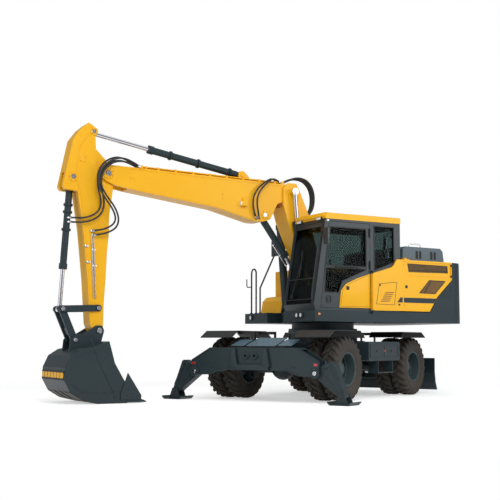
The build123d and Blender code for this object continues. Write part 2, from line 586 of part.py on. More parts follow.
def bucket():
    rim_points = [(4268, 962), (4172, 625), (4027, 380), (3861, 120), (3640, 33), (3634, 15)]
    back = [(4458, 15), (4692, 75), (4890, 195), (4985, 370), (4975, 560), (4890, 740), (4730, 840), (4500, 880)]
    outer = side_plate(rim_points + back, BOOM_Y - BUCKET_HALF, BOOM_Y + BUCKET_HALF)
    inner_back = [(3700, 37), (4450, 37), (4680, 97), (4870, 212), (4960, 375), (4950, 550), (4870, 722),
                  (4720, 818), (4480, 858), (4200, 940), (4000, 700), (3500, 300), (3400, 37)]
    room = side_plate(inner_back, BOOM_Y - BUCKET_HALF + BUCKET_PLATE, BOOM_Y + BUCKET_HALF - BUCKET_PLATE)
    shell = outer - room
    ear_inner = ARM_HALF + 1
    ear = [(4215, 1130), (4250, 1210), (4340, 1215), (4560, 1085), (4700, 1062), (4770, 990), (4790, 800),
           (4500, 860), (4262, 950)]
    ears = plane_plate(ear, ear_inner, ear_inner + BUCKET_EAR, 15)
    pin = plane_pin(BUCKET_PIN, ear_inner + BUCKET_EAR + 15, PIN_DIAMETER)
    caps = both_sides(lambda a, b: cross_pin(LINK_PIN[0], LINK_PIN[1], a, b, SMALL_PIN),
                      ear_inner + 5, ear_inner + BUCKET_EAR + 15, BOOM_Y)
    cutter = [(3735, 60), (4074, 60), (4074, 148), (3958, 473), (3728, 121)]
    cutters = both_sides(lambda a, b: side_plate(cutter, a, b), BUCKET_HALF, BUCKET_HALF + 18, BOOM_Y)
    return shell + ears + pin + caps + cutters


# Superstructure

def tail_plan(z0, z1):
    """The rear of the superstructure seen from above, with its round corners."""
    box = block(DECK_REAR, -1400, -DECK_HALF_WIDTH, DECK_HALF_WIDTH, z0, z1)
    return fillet(box.edges().filter_by(Axis.Z).group_by(Axis.X)[0], TAIL_RADIUS)


def upper_frame():
    front = flat_plate([(-1500, -DECK_HALF_WIDTH), (DECK_RIGHT_FRONT, -DECK_HALF_WIDTH), (DECK_RIGHT_FRONT, -430),
                        (620, -430), (620, 240), (DECK_LEFT_FRONT, 240), (DECK_LEFT_FRONT, DECK_HALF_WIDTH),
                        (-1500, DECK_HALF_WIDTH)], DECK_BOTTOM, DECK_TOP)
    lower_knuckle = block(SIDE_HINGE_X - 8, SIDE_HINGE_X + 8, DECK_HALF_WIDTH - 1, SIDE_HINGE_Y, DECK_TOP - 40, DECK_TOP)
    lower_knuckle += Pos(SIDE_HINGE_X, SIDE_HINGE_Y, DECK_TOP - 20) * Cylinder(HINGE_RADIUS, 40)
    deck = front + tail_plan(DECK_BOTTOM, DECK_TOP) + lower_knuckle
    ring = Pos(0, 0, (SLEW_SPLIT_Z + DECK_BOTTOM) / 2 + 5) * Cylinder(560, DECK_BOTTOM - SLEW_SPLIT_Z + 10)
    foot_inner = UPPER_BOOM_HALF + FORK_PLATE + 2 * SIDE_GAP
    foot = plane_plate([(-250, DECK_TOP - 10), (-120, 1800), (-20, 1870), (150, 1870), (220, 1780),
                        (330, DECK_TOP - 10)], foot_inner, foot_inner + 30, 20)
    pin = plane_pin(FOOT, foot_inner + 30, PIN_DIAMETER)
    x, z = LIFT_BASE
    ear = [(x - 110, DECK_TOP - 10), (x - 55, z + 60), (x + 50, z + 60), (x + 75, DECK_TOP - 10)]
    shape = deck + ring + foot + pin
    for side in (-1, 1):
        middle = BOOM_Y + side * LIFT_OFFSET
        shape += both_sides(lambda a, b: side_plate(ear, a, b), 39, 59, middle)
        shape += cross_pin(x, z, middle - 59, middle + 59, SMALL_PIN)
    return shape


def cab_outline(grow=0.0, base=DECK_TOP):
    """The cab's side outline; grow moves its front and back out."""
    return [(CAB_REAR - grow, base), (CAB_FRONT_LOW - 30 + grow, base), (CAB_FRONT_LOW + grow, CAB_SILL_Z),
            (CAB_FRONT_HIGH + grow, CAB_HEAD_Z), (CAB_REAR - grow, CAB_HEAD_Z)]


def cab_shell():
    """Welded cab frame, open at its windows and its door."""
    body = side_plate(cab_outline(), CAB_INNER_Y, CAB_OUTER_Y)
    room = side_plate([(CAB_REAR + CAB_WALL, DECK_TOP + 70), (CAB_FRONT_LOW - 60, DECK_TOP + 70),
                       (CAB_FRONT_LOW - CAB_WALL, CAB_SILL_Z), (CAB_FRONT_HIGH - CAB_WALL, CAB_HEAD_Z - 50),
                       (CAB_REAR + CAB_WALL, CAB_HEAD_Z - 50)], CAB_INNER_Y + CAB_WALL, CAB_OUTER_Y - CAB_WALL)
    front = block(600, 1100, CAB_INNER_Y + 75, CAB_OUTER_Y - 85, CAB_SILL_Z + 10, 2900)
    rear = block(CAB_REAR - 10, CAB_REAR + 100, CAB_INNER_Y + 110, CAB_OUTER_Y - 110, 2450, 2930)
    right = side_plate([(-640, 2200), (CAB_FRONT_LOW - 220, 1900), (CAB_FRONT_HIGH - 90, 2900), (-640, 2900)],
                       CAB_INNER_Y - 10, CAB_INNER_Y + CAB_WALL + 10)
    left_rear = side_plate([(-235, 2190), (-235, 2950), (-660, 2950), (-660, 2350)],
                           CAB_OUTER_Y - CAB_WALL - 10, CAB_OUTER_Y + 10)
    doorway = side_plate(door_outline(SIDE_GAP), CAB_OUTER_Y - CAB_WALL - 10, CAB_OUTER_Y + 10)
    return body - room - front - rear - right - left_rear - doorway + cab_knuckles()


def hinge_barrel(x, face_y, z, length):
    """A hinge's round barrel on an outer face, bored for its pin, and the strip that carries it."""
    y = face_y + HINGE_OFFSET
    barrel = Pos(x, y, z) * Cylinder(HINGE_RADIUS, length)
    strip = block(x - 8, x + 8, face_y - 1, y, z - length / 2, z + length / 2)
    return barrel + strip - Pos(x, y, z) * Cylinder(HINGE_PIN / 2 + RUN, length + 2)


def cab_knuckles():
    """Fixed halves of the cab door's hinges, and the upper one of the side door below the window."""
    x, y = DOOR_REAR + 8, CAB_OUTER_Y + HINGE_OFFSET
    shape = block(SIDE_HINGE_X - 8, SIDE_HINGE_X + 8, CAB_OUTER_Y - 1, SIDE_HINGE_Y, 2148, 2178)
    shape += Pos(SIDE_HINGE_X, SIDE_HINGE_Y, 2163) * Cylinder(HINGE_RADIUS, 30)
    shape += Pos(SIDE_HINGE_X, SIDE_HINGE_Y, 1826) * Cylinder(HINGE_PIN / 2, 678)
    for z in CAB_HINGES:
        shape += Pos(x, y, z) * Cylinder(HINGE_PIN / 2, CAB_HINGE_LENGTH + 60)
        for middle in (z - CAB_HINGE_LENGTH / 2 - 17, z + CAB_HINGE_LENGTH / 2 + 17):
            shape += Pos(x, y, middle) * Cylinder(HINGE_RADIUS, 30)
            shape += block(x - 45, x, CAB_OUTER_Y + 6, y, middle - 15, middle + 15)
            shape += block(x - 45, x - 16, CAB_OUTER_Y - 1, y, middle - 15, middle + 15)
    return shape


def door_outline(grow=0.0):
    """The cab door's outline; grow widens it all round."""
    return [(DOOR_REAR - grow, 1530 - grow), (860 + grow, 1530 - grow), (865 + grow, 1600),
            (690 + grow, 2985 + grow), (DOOR_REAR - grow, 2985 + grow)]


def cab_door():
    slab = side_plate(door_outline(), CAB_OUTER_Y - CAB_WALL, CAB_OUTER_Y)
    upper = side_plate([(-60, 2240), (760, 2240), (668, 2890), (-60, 2890)], CAB_OUTER_Y - 100, CAB_OUTER_Y + 100)
    lower = side_plate([(-60, 2205), (-60, 2180), (420, 1990), (500, 1790), (790, 1790), (765, 2205)],
                       CAB_OUTER_Y - 100, CAB_OUTER_Y + 100)
    shape = slab - upper - lower
    for z in CAB_HINGES:
        shape += hinge_barrel(DOOR_REAR + 8, CAB_OUTER_Y, z, CAB_HINGE_LENGTH)
    return shape


def door_glass():
    y0 = CAB_OUTER_Y - 30
    upper = side_plate([(-60 + SEAT, 2240 + SEAT), (760 - SEAT, 2240 + SEAT), (668 - SEAT, 2890 - SEAT),
                        (-60 + SEAT, 2890 - SEAT)], y0, y0 + GLASS)
    lower = side_plate([(-60 + SEAT, 2205 - SEAT), (-60 + SEAT, 2180 + SEAT), (420, 1990 + SEAT), (500, 1790 + SEAT),
                        (790 - SEAT, 1790 + SEAT), (765 - SEAT, 2205 - SEAT)], y0, y0 + GLASS)
    return upper + lower


def cab_glass():
    s = SEAT
    slope = (CAB_FRONT_HIGH - CAB_FRONT_LOW) / (CAB_HEAD_Z - CAB_SILL_Z)

    def front_x(z, inset):
        return CAB_FRONT_LOW + slope * (z - CAB_SILL_Z) - inset

    z0, z1 = CAB_SILL_Z + 10 + s, 2900 - s
    front = side_plate([(front_x(z0, 15), z0), (front_x(z0, 15 + GLASS), z0), (front_x(z1, 15 + GLASS), z1),
                        (front_x(z1, 15), z1)], CAB_INNER_Y + 75 + s, CAB_OUTER_Y - 85 - s)
    rear = block(CAB_REAR + 15, CAB_REAR + 15 + GLASS, CAB_INNER_Y + 110 + s, CAB_OUTER_Y - 110 - s, 2450 + s, 2930 - s)
    right = side_plate([(-640 + s, 2200 + s), (CAB_FRONT_LOW - 220 - s, 1900 + s), (CAB_FRONT_HIGH - 90 - s, 2900 - s),
                        (-640 + s, 2900 - s)], CAB_INNER_Y + 15, CAB_INNER_Y + 15 + GLASS)
    left = side_plate([(-235 - s, 2190 + s), (-235 - s, 2950 - s), (-660 + s, 2950 - s), (-660 + s, 2350 + s)],
                      CAB_OUTER_Y - 30, CAB_OUTER_Y - 30 + GLASS)
    return front + rear + right + left


def cab_roof():
    outline = [(CAB_REAR - 12, CAB_HEAD_Z + SEAT), (CAB_FRONT_HIGH + 10, CAB_HEAD_Z + SEAT),
               (CAB_FRONT_HIGH - 30, ROOF_TOP), (CAB_REAR - 12, ROOF_TOP)]
    return side_plate(outline, CAB_INNER_Y, CAB_OUTER_Y + 4, 20)


def seat():
    floor = DECK_TOP + 70 + SEAT
    y0, y1 = 530.0, 1030.0
    base = block(-350, 150, y0 + 60, y1 - 60, floor, floor + 330)
    cushion = block(-380, 190, y0, y1, floor + 330 + SEAT, floor + 450)
    back = side_plate([(-370, floor + 450 + SEAT), (-240, floor + 450 + SEAT), (-340, floor + 1050), (-450, floor + 1050)],
                      y0 + 10, y1 - 10, 30)
    return base + cushion + back


def cab_controls():
    floor = DECK_TOP + 70 + SEAT
    column = round_bar((755, 775, floor + 15), (549, 775, floor + 655), 70) + block(700, 820, 700, 850, floor, floor + 60)
    wheel = Pos(545, 775, floor + 660) * Rot(0, -18, 0) * Torus(185, 16)
    spokes = Pos(545, 775, floor + 660) * Rot(0, -18, 0) * (Box(370, 24, 14) + Cylinder(40, 30))
    consoles = block(-330, 200, 400, 500, floor, floor + 620) + block(-330, 200, 1050, 1150, floor, floor + 620)
    return column + wheel + spokes + consoles


def engine_block():
    return block(-1600, -900, -420, 420, DECK_TOP + 60, DECK_TOP + 720) + block(-1500, -1000, -250, 250, DECK_TOP, DECK_TOP + 70)


# The slanted lower rear edge of the side doors, as (x, z)
SKEW = [(-1450.0, DECK_TOP + 15), (-1625.0, 1765.0), (REAR_DOOR_REAR, 2085.0)]


def counterweight():
    step = 2 * SIDE_GAP
    skew = [(x - step, z - step) for x, z in reversed(SKEW)]
    outline = [(DECK_REAR, DECK_TOP + SEAT), (DECK_REAR + 5, 2100), (DECK_REAR + 36, 2259), (DECK_REAR + 112, 2395),
               (REAR_DOOR_REAR - step, 2395)] + skew[:-1] + [(skew[-1][0], DECK_TOP + SEAT)]
    solid = side_plate(outline, -DECK_HALF_WIDTH, DECK_HALF_WIDTH)
    room = block(-2080, -1300, -1150, 1150, DECK_TOP - 10, 2500)
    shape = (solid & tail_plan(1400, 2500)) - room
    knuckles = door_knuckles() + mirror(door_knuckles(), Plane.XZ)
    return shape + knuckles + block(-2180, -2075, -900, 900, 2365, 2395) + mirrored(hood_knuckles())


def door_knuckles():
    """Fixed half of the left rear door's hinge, carried by the counterweight's side."""
    z, y = REAR_HINGE_Z, DECK_HALF_WIDTH + HINGE_OFFSET
    half = REAR_HINGE_LENGTH / 2
    shape = Pos(REAR_HINGE_X, y, z) * Cylinder(HINGE_PIN / 2, REAR_HINGE_LENGTH + 80)
    for z0, z1 in ((z - half - 42, z - half - 2), (z + half + 2, z + half + 42)):
        shape += Pos(REAR_HINGE_X, y, (z0 + z1) / 2) * Cylinder(HINGE_RADIUS, z1 - z0)
        shape += block(REAR_DOOR_REAR - 33, REAR_HINGE_X, DECK_HALF_WIDTH + 6, y, z0, z1)
        shape += block(REAR_DOOR_REAR - 33, REAR_DOOR_REAR - 12, DECK_HALF_WIDTH - 2, y, z0, z1)
    return shape


def hood_knuckles():
    """Fixed half of one hood hinge, standing on the rear deck."""
    shape = cross_pin(HOOD_HINGE_X, HOOD_HINGE_Z, 600 - 105, 600 + 105, HINGE_PIN)
    for y0, y1 in ((600 - 105, 600 - 62), (600 + 62, 600 + 105)):
        shape += cross_pin(HOOD_HINGE_X, HOOD_HINGE_Z, y0, y1, 2 * HINGE_RADIUS)
        shape += block(HOOD_HINGE_X - 8, HOOD_HINGE_X + 8, y0, y1, 2390, HOOD_HINGE_Z)
    return shape


def body_frame():
    """Top deck, bulkhead and posts that carry the doors and the hood."""
    top_plate = block(REAR_DOOR_REAR - 5, CAB_REAR - 20, -DECK_HALF_WIDTH, DECK_HALF_WIDTH, BODY_TOP - 30, BODY_TOP)
    opening = block(HOOD_REAR + 160, HOOD_FRONT - 40, -HOOD_HALF_WIDTH + 60, HOOD_HALF_WIDTH - 60, 2300, 2500)
    bulkhead = block(CAB_REAR - 45, CAB_REAR - 20, -1200, 1200, DECK_TOP + SEAT, BODY_TOP - 20)
    post = block(REAR_DOOR_REAR, REAR_DOOR_REAR + 40, 1150, 1200, 2090, BODY_TOP - 20)
    return top_plate - opening + bulkhead + mirrored(post)


def rear_door_outline():
    return [(FRONT_DOOR_REAR - 4, DECK_TOP + 15)] + SKEW + [
        (REAR_DOOR_REAR, BODY_TOP - 35), (FRONT_DOOR_REAR - 4, BODY_TOP - 35)]


def door_left_rear():
    panel = side_plate(rear_door_outline(), DECK_HALF_WIDTH - SIDE_PANEL, DECK_HALF_WIDTH)
    hinge = hinge_barrel(REAR_HINGE_X, DECK_HALF_WIDTH, REAR_HINGE_Z, REAR_HINGE_LENGTH)
    grille = side_plate([(-957, 2340), (-1868, 2330), (-1880, 2200), (-985, 2190)],
                        DECK_HALF_WIDTH - 15, DECK_HALF_WIDTH + 50)
    return panel - grille + hinge


def door_right():
    return mirror(door_left_rear(), Plane.XZ)


def door_left_front():
    outline = [(DOOR_REAR - 8, DECK_TOP + 15), (FRONT_DOOR_REAR + 4, DECK_TOP + 15), (FRONT_DOOR_REAR + 4, BODY_TOP),
               (-700, BODY_TOP), (-640, 2300), (-590, 2255), (DOOR_REAR - 8, 2130)]
    panel = side_plate(outline, DECK_HALF_WIDTH + 6, DECK_HALF_WIDTH + 36)
    hinge = hinge_barrel(SIDE_HINGE_X, SIDE_HINGE_Y - HINGE_OFFSET, 1818, 610)
    return panel + hinge


def side_tanks():
    """Tanks and boxes along the right side, and the stepped cover in front."""
    tank = block(-780, 250, -DECK_HALF_WIDTH + 8, -480, DECK_TOP + SEAT, 2300)
    cover = side_plate([(255, DECK_TOP + SEAT), (600, DECK_TOP + SEAT), (560, 1720), (480, 1800), (255, 1830)],
                       -1200, -480)
    return tank + cover


def hood():
    outline = [(HOOD_REAR, BODY_TOP + SEAT), (HOOD_REAR + 30, HOOD_TOP - 60), (HOOD_REAR + 90, HOOD_TOP - 5),
               (HOOD_FRONT - 60, HOOD_TOP), (HOOD_FRONT, HOOD_TOP - 60), (HOOD_FRONT, BODY_TOP + SEAT)]
    solid = side_plate(outline, -HOOD_HALF_WIDTH, HOOD_HALF_WIDTH)
    room = block(HOOD_REAR + 60, HOOD_FRONT - 30, -HOOD_HALF_WIDTH + 30, HOOD_HALF_WIDTH - 30, BODY_TOP - 10, HOOD_TOP - 70)
    barrel = cross_pin(HOOD_HINGE_X, HOOD_HINGE_Z, 540, 660, 2 * HINGE_RADIUS)
    barrel += block(HOOD_HINGE_X, HOOD_REAR + 5, 540, 660, HOOD_HINGE_Z - 6, HOOD_HINGE_Z + 6)
    barrel -= cross_pin(HOOD_HINGE_X, HOOD_HINGE_Z, 530, 670, HINGE_PIN + 2 * RUN)
    return solid - room + mirrored(barrel)


def exhaust():
    drum = Pos(-960, 620, BODY_TOP + SEAT + 110) * Cylinder(110, 220)
    riser = Pos(-960, 620, BODY_TOP + 330) * Cylinder(45, 260)
    return drum + riser


def handrails():
    """Right front rail loop, and the stay with the right mirror."""
    x = DECK_RIGHT_FRONT - 35
    loop = bent_tube([(x, -1063, DECK_TOP), (x, -1063, 2313), (x, -891, 2313), (x, -891, DECK_TOP)], RAIL, 84)
    stay = bent_tube([(x, -745, DECK_TOP), (x, -745, 1950), (x - 330, -745, 2620)], RAIL, 60)
    mirror_plate = block(x - 345, x - 315, -860, -640, 2560, 2840)
    return loop + stay + mirror_plate


# Every node, its shape and the frame that it is drawn in
CHASSIS = Pos(SLEW_X, SLEW_Y, 0)
UPPER = Pos(SLEW_X, SLEW_Y, 0) * Rot(0, 0, SWING_ANGLE)

WHEELS = (("front_left", 1, FRONT_AXLE_X), ("front_right", -1, FRONT_AXLE_X),
          ("rear_left", 1, REAR_AXLE_X), ("rear_right", -1, REAR_AXLE_X))


def blade_pair(make):
    return make(BLADE_CYLINDER, BLADE_CYLINDER_Y) + make(BLADE_CYLINDER, -BLADE_CYLINDER_Y)


def lift_pair(make):
    return make(LIFT, BOOM_Y + LIFT_OFFSET) + make(LIFT, BOOM_Y - LIFT_OFFSET)


chassis_nodes = {
    "chassis_frame": chassis_frame(),
    "outrigger_beam": outrigger_beam(),
    "front_axle": front_axle(),
    "rear_axle": rear_axle(),
    "fenders": fenders(),
    "side_boxes": side_boxes(),
    "blade": blade(),
    "blade_barrels": blade_pair(make_barrel),
    "blade_rods": blade_pair(make_rod),
    "leg_left": leg(1),
    "leg_right": leg(-1),
    "pad_left": pad(1),
    "pad_right": pad(-1),
    "knuckle_left": knuckle(1),
    "knuckle_right": knuckle(-1),
}
for name, side, x in WHEELS:
    chassis_nodes[f"tyres_{name}"] = wheel_at(twin_tyres(), side, x)
    chassis_nodes[f"rims_{name}"] = wheel_at(twin_rims(), side, x)

upper_nodes = {
    "upper_frame": upper_frame(),
    "cab_shell": cab_shell(),
    "cab_door": cab_door(),
    "door_glass": door_glass(),
    "cab_glass": cab_glass(),
    "cab_roof": cab_roof(),
    "seat": seat(),
    "cab_controls": cab_controls(),
    "engine_block": engine_block(),
    "counterweight": counterweight(),
    "body_frame": body_frame(),
    "door_left_rear": door_left_rear(),
    "door_right": door_right(),
    "door_left_front": door_left_front(),
    "side_tanks": side_tanks(),
    "hood": hood(),
    "exhaust": exhaust(),
    "handrails": handrails(),
    "lower_boom": lower_boom(),
    "upper_boom": upper_boom(),
    "arm": arm(),
    "bucket": bucket(),
    "rockers": rockers(),
    "link": link(),
    "lift_barrels": lift_pair(make_barrel),
    "lift_rods": lift_pair(make_rod),
    "adjust_barrel": make_barrel(ADJUST, BOOM_Y),
    "adjust_rod": make_rod(ADJUST, BOOM_Y),
    "arm_barrel": make_barrel(ARM_CYLINDER, BOOM_Y),
    "arm_rod": make_rod(ARM_CYLINDER, BOOM_Y),
    "bucket_barrel": make_barrel(BUCKET_CYLINDER, BOOM_Y),
    "bucket_rod": make_rod(BUCKET_CYLINDER, BOOM_Y),
}

for frame, nodes in ((CHASSIS, chassis_nodes), (UPPER, upper_nodes)):
    for name, shape in nodes.items():
        export_step(frame * shape, f"parts/{name}.step")
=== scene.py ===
# %% [markdown]
# # A wheeled excavator, dressed in Blender
# The shape of this machine comes packed as a fixed frame: every welded part, door, cylinder and
# wheel is there in its real place, and joints say how it moves. This script gives it its looks.
# The frame is loaded first. Nothing that is added may make the machine bigger.

# %% Load the imported machine
import json
import math

import bmesh
import bpy
from mathutils import Matrix, Vector

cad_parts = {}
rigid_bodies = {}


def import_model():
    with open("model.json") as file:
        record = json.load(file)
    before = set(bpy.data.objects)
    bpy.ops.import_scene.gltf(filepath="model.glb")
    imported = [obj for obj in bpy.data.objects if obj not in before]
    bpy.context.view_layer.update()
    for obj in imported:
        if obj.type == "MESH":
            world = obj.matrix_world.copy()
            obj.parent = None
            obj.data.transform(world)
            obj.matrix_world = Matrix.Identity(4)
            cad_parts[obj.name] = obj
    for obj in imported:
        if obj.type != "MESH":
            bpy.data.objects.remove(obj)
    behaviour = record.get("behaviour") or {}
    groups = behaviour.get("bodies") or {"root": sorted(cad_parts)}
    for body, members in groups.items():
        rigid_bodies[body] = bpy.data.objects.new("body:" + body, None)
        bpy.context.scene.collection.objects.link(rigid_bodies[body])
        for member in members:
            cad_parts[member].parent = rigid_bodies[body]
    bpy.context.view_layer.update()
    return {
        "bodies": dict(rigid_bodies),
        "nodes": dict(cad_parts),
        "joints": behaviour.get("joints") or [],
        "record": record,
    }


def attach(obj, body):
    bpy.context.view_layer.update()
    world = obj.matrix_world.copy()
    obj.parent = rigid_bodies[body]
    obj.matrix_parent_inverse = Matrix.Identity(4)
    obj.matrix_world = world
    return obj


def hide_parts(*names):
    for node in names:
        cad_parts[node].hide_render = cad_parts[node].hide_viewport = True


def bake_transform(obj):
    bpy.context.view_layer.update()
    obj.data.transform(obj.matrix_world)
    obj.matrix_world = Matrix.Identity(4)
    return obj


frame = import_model()
NODES, BODIES = frame["nodes"], frame["bodies"]

# %% [markdown]
# ## Two places to build in
# A machine like this has a chassis that stands still and a superstructure that is turned on it.
# It is easiest to build each piece in its own straight frame, and to turn it at the end. Both
# frames have their origin on the ground under the middle of the slewing ring, which the joint's
# own position gives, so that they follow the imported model.

# %% Frames of the chassis and the superstructure
JOINTS = {joint["name"]: joint for joint in frame["joints"]}
slew = Vector(JOINTS["slew"]["pos_m"])
SWING = math.radians(-27.2)
CHASSIS = Matrix.Translation((slew.x, slew.y, 0.0))
UPPER = CHASSIS @ Matrix.Rotation(SWING, 4, "Z")
BOOM_Y = -0.1
print("slew centre", [round(v, 3) for v in slew])

# %% [markdown]
# ## Camera
# The photograph was taken with a long lens from the front left, a little under a metre above
# the ground. A long lens keeps the boom and the rear at nearly one scale.

# %% Camera
CAMERA_PLACE = Vector((15.288, 8.468, 0.92))
YAW, PITCH, ROLL = 3.723, 0.098, 0.002
SENSOR, FOCAL_PIXELS, PHOTO_PIXELS = 36.0, 959.13, 500
forward = Vector((math.cos(YAW) * math.cos(PITCH), math.sin(YAW) * math.cos(PITCH), math.sin(PITCH)))
right = Vector((math.sin(YAW), -math.cos(YAW), 0.0))
up = right.cross(forward)
side = right * math.cos(ROLL) + up * math.sin(ROLL)
top = up * math.cos(ROLL) - right * math.sin(ROLL)

camera_data = bpy.data.cameras.new("camera")
camera_data.sensor_width = SENSOR
camera_data.lens = SENSOR * FOCAL_PIXELS / PHOTO_PIXELS
camera_data.clip_end = 100.0
camera = bpy.data.objects.new("camera", camera_data)
bpy.context.scene.collection.objects.link(camera)
camera.matrix_world = Matrix.Translation(CHASSIS @ CAMERA_PLACE) @ Matrix(
    ((side.x, top.x, -forward.x), (side.y, top.y, -forward.y), (side.z, top.z, -forward.z))).to_4x4()
bpy.context.scene.camera = camera
print("lens", round(camera_data.lens, 2), "mm")

# %% [markdown]
# ## Shared effects
# Paint on such a machine is the same in kind whatever its colour: a little orange peel, slight
# differences of tone from plate to plate, dust near the ground, and edges where it is thin.
# Each effect is a node group that puts out a mask or a normal, so that every paint can use it
# with its own strength.

# %% Small helpers for node trees
def node(tree, kind, **settings):
    made = tree.nodes.new("ShaderNode" + kind)
    for name, value in settings.items():
        setattr(made, name, value)
    return made


def new_group(name, inputs, outputs):
    """A group with its ends; inputs are rows of name and number, outputs rows of name and kind."""
    group = bpy.data.node_groups.new(name, "ShaderNodeTree")
    for label, value in inputs:
        made = group.interface.new_socket(name=label, in_out="INPUT", socket_type="NodeSocketFloat")
        made.default_value = value
    for label, kind in outputs:
        group.interface.new_socket(name=label, in_out="OUTPUT", socket_type="NodeSocket" + kind)
    return group, group.nodes.new("NodeGroupInput"), group.nodes.new("NodeGroupOutput")


def feed(tree, value, target):
    """Puts a number into an input, or links a socket to it."""
    if isinstance(value, (int, float)):
        target.default_value = value
    else:
        tree.links.new(value, target)


def maths(tree, operation, first, second, clamp=False):
    """A Math node whose inputs are sockets or plain numbers."""
    made = node(tree, "Math", operation=operation, use_clamp=clamp)
    feed(tree, first, made.inputs[0])
    feed(tree, second, made.inputs[1])
    return made.outputs[0]


def object_noise(tree, scale, detail=3.0, roughness=0.5):
    """Noise over Object coordinates; scale is a number or a socket."""
    place = node(tree, "TexCoord")
    made = node(tree, "TexNoise")
    made.inputs["Detail"].default_value = detail
    made.inputs["Roughness"].default_value = roughness
    feed(tree, scale, made.inputs["Scale"])
    tree.links.new(place.outputs["Object"], made.inputs["Vector"])
    return made.outputs["Fac"]


# %% Effect: soft edges and worn edges
EDGE_GAIN, EDGE_START = 9.0, 0.55
edges, ends_in, ends_out = new_group("soft_edges", [("Radius", 0.006), ("Wear", 0.5)],
                                     [("Normal", "Vector"), ("Mask", "Float")])
bend = node(edges, "Bevel", samples=4)
edges.links.new(ends_in.outputs["Radius"], bend.inputs["Radius"])
face = node(edges, "NewGeometry")
same = node(edges, "VectorMath", operation="DOT_PRODUCT")
edges.links.new(bend.outputs["Normal"], same.inputs[0])
edges.links.new(face.outputs["Normal"], same.inputs[1])
turned = maths(edges, "SUBTRACT", 1.0, same.outputs["Value"])
speckle = maths(edges, "MULTIPLY", object_noise(edges, 38.0, 5.0, 0.65), EDGE_GAIN)
rough_edge = maths(edges, "SUBTRACT", maths(edges, "MULTIPLY", turned, speckle), EDGE_START)
worn = maths(edges, "MULTIPLY", rough_edge, ends_in.outputs["Wear"], clamp=True)
edges.links.new(worn, ends_out.inputs["Mask"])
edges.links.new(bend.outputs["Normal"], ends_out.inputs["Normal"])

# %% Effect: dust that lies low and in patches
LYING_SHARE, UPRIGHT_SHARE = 0.35, 0.65
dust, ends_in, ends_out = new_group("dust", [("Scale", 3.0), ("Top", 1.2), ("Amount", 0.5)],
                                    [("Mask", "Float")])
place = node(dust, "TexCoord")
split = node(dust, "SeparateXYZ")
dust.links.new(place.outputs["Object"], split.inputs[0])
height = maths(dust, "DIVIDE", split.outputs["Z"], ends_in.outputs["Top"])
low = maths(dust, "SUBTRACT", 1.0, height, clamp=True)
patch = object_noise(dust, ends_in.outputs["Scale"], 6.0, 0.6)
face = node(dust, "NewGeometry")
facing = node(dust, "SeparateXYZ")
dust.links.new(face.outputs["Normal"], facing.inputs[0])
flat = maths(dust, "MULTIPLY", facing.outputs["Z"], LYING_SHARE)
lying = maths(dust, "ADD", flat, UPRIGHT_SHARE, clamp=True)
amount = maths(dust, "MULTIPLY", maths(dust, "MULTIPLY", low, patch), ends_in.outputs["Amount"])
dust.links.new(maths(dust, "MULTIPLY", amount, lying, clamp=True), ends_out.inputs["Mask"])

# %% Effect: grain, a fine uneven height and a slow change of tone
grain, ends_in, ends_out = new_group("grain", [("Fine", 140.0), ("Slow", 1.6)],
                                     [("Height", "Float"), ("Tone", "Float")])
grain.links.new(object_noise(grain, ends_in.outputs["Fine"], 2.0), ends_out.inputs["Height"])
grain.links.new(object_noise(grain, ends_in.outputs["Slow"], 4.0), ends_out.inputs["Tone"])
print("effects", [group.name for group in bpy.data.node_groups])

# %% [markdown]
# ## Paints, metal, rubber, cloth and glass
# One function mixes a paint from a main colour, a darker tone, the colour of its worn edges and
# that of its dust, and each finish calls it with its own numbers.

# %% A coloured finish with dust, tone and edges
def place_group(tree, group, **values):
    made = node(tree, "Group", node_tree=group)
    for name, value in values.items():
        made.inputs[name].default_value = value
    return made


def mix_colour(tree, factor, first, second):
    """A colour mix; each colour is a tuple or a socket."""
    made = node(tree, "Mix", data_type="RGBA")
    tree.links.new(factor, made.inputs["Factor"])
    for end, value in (("A", first), ("B", second)):
        slot_in = [s for s in made.inputs if s.name == end and s.type == "RGBA"][0]
        if isinstance(value, tuple):
            slot_in.default_value = (*value, 1.0)
        else:
            tree.links.new(value, slot_in)
    return [s for s in made.outputs if s.type == "RGBA"][0]


def new_material(name):
    """An empty material, its tree and its output."""
    made = bpy.data.materials.new(name)
    made.use_nodes = True
    made.node_tree.nodes.clear()
    return made, made.node_tree, node(made.node_tree, "OutputMaterial")


DUST_MATT, TONE_ROUGH, COAT_ROUGH = 0.5, 0.12, 0.12


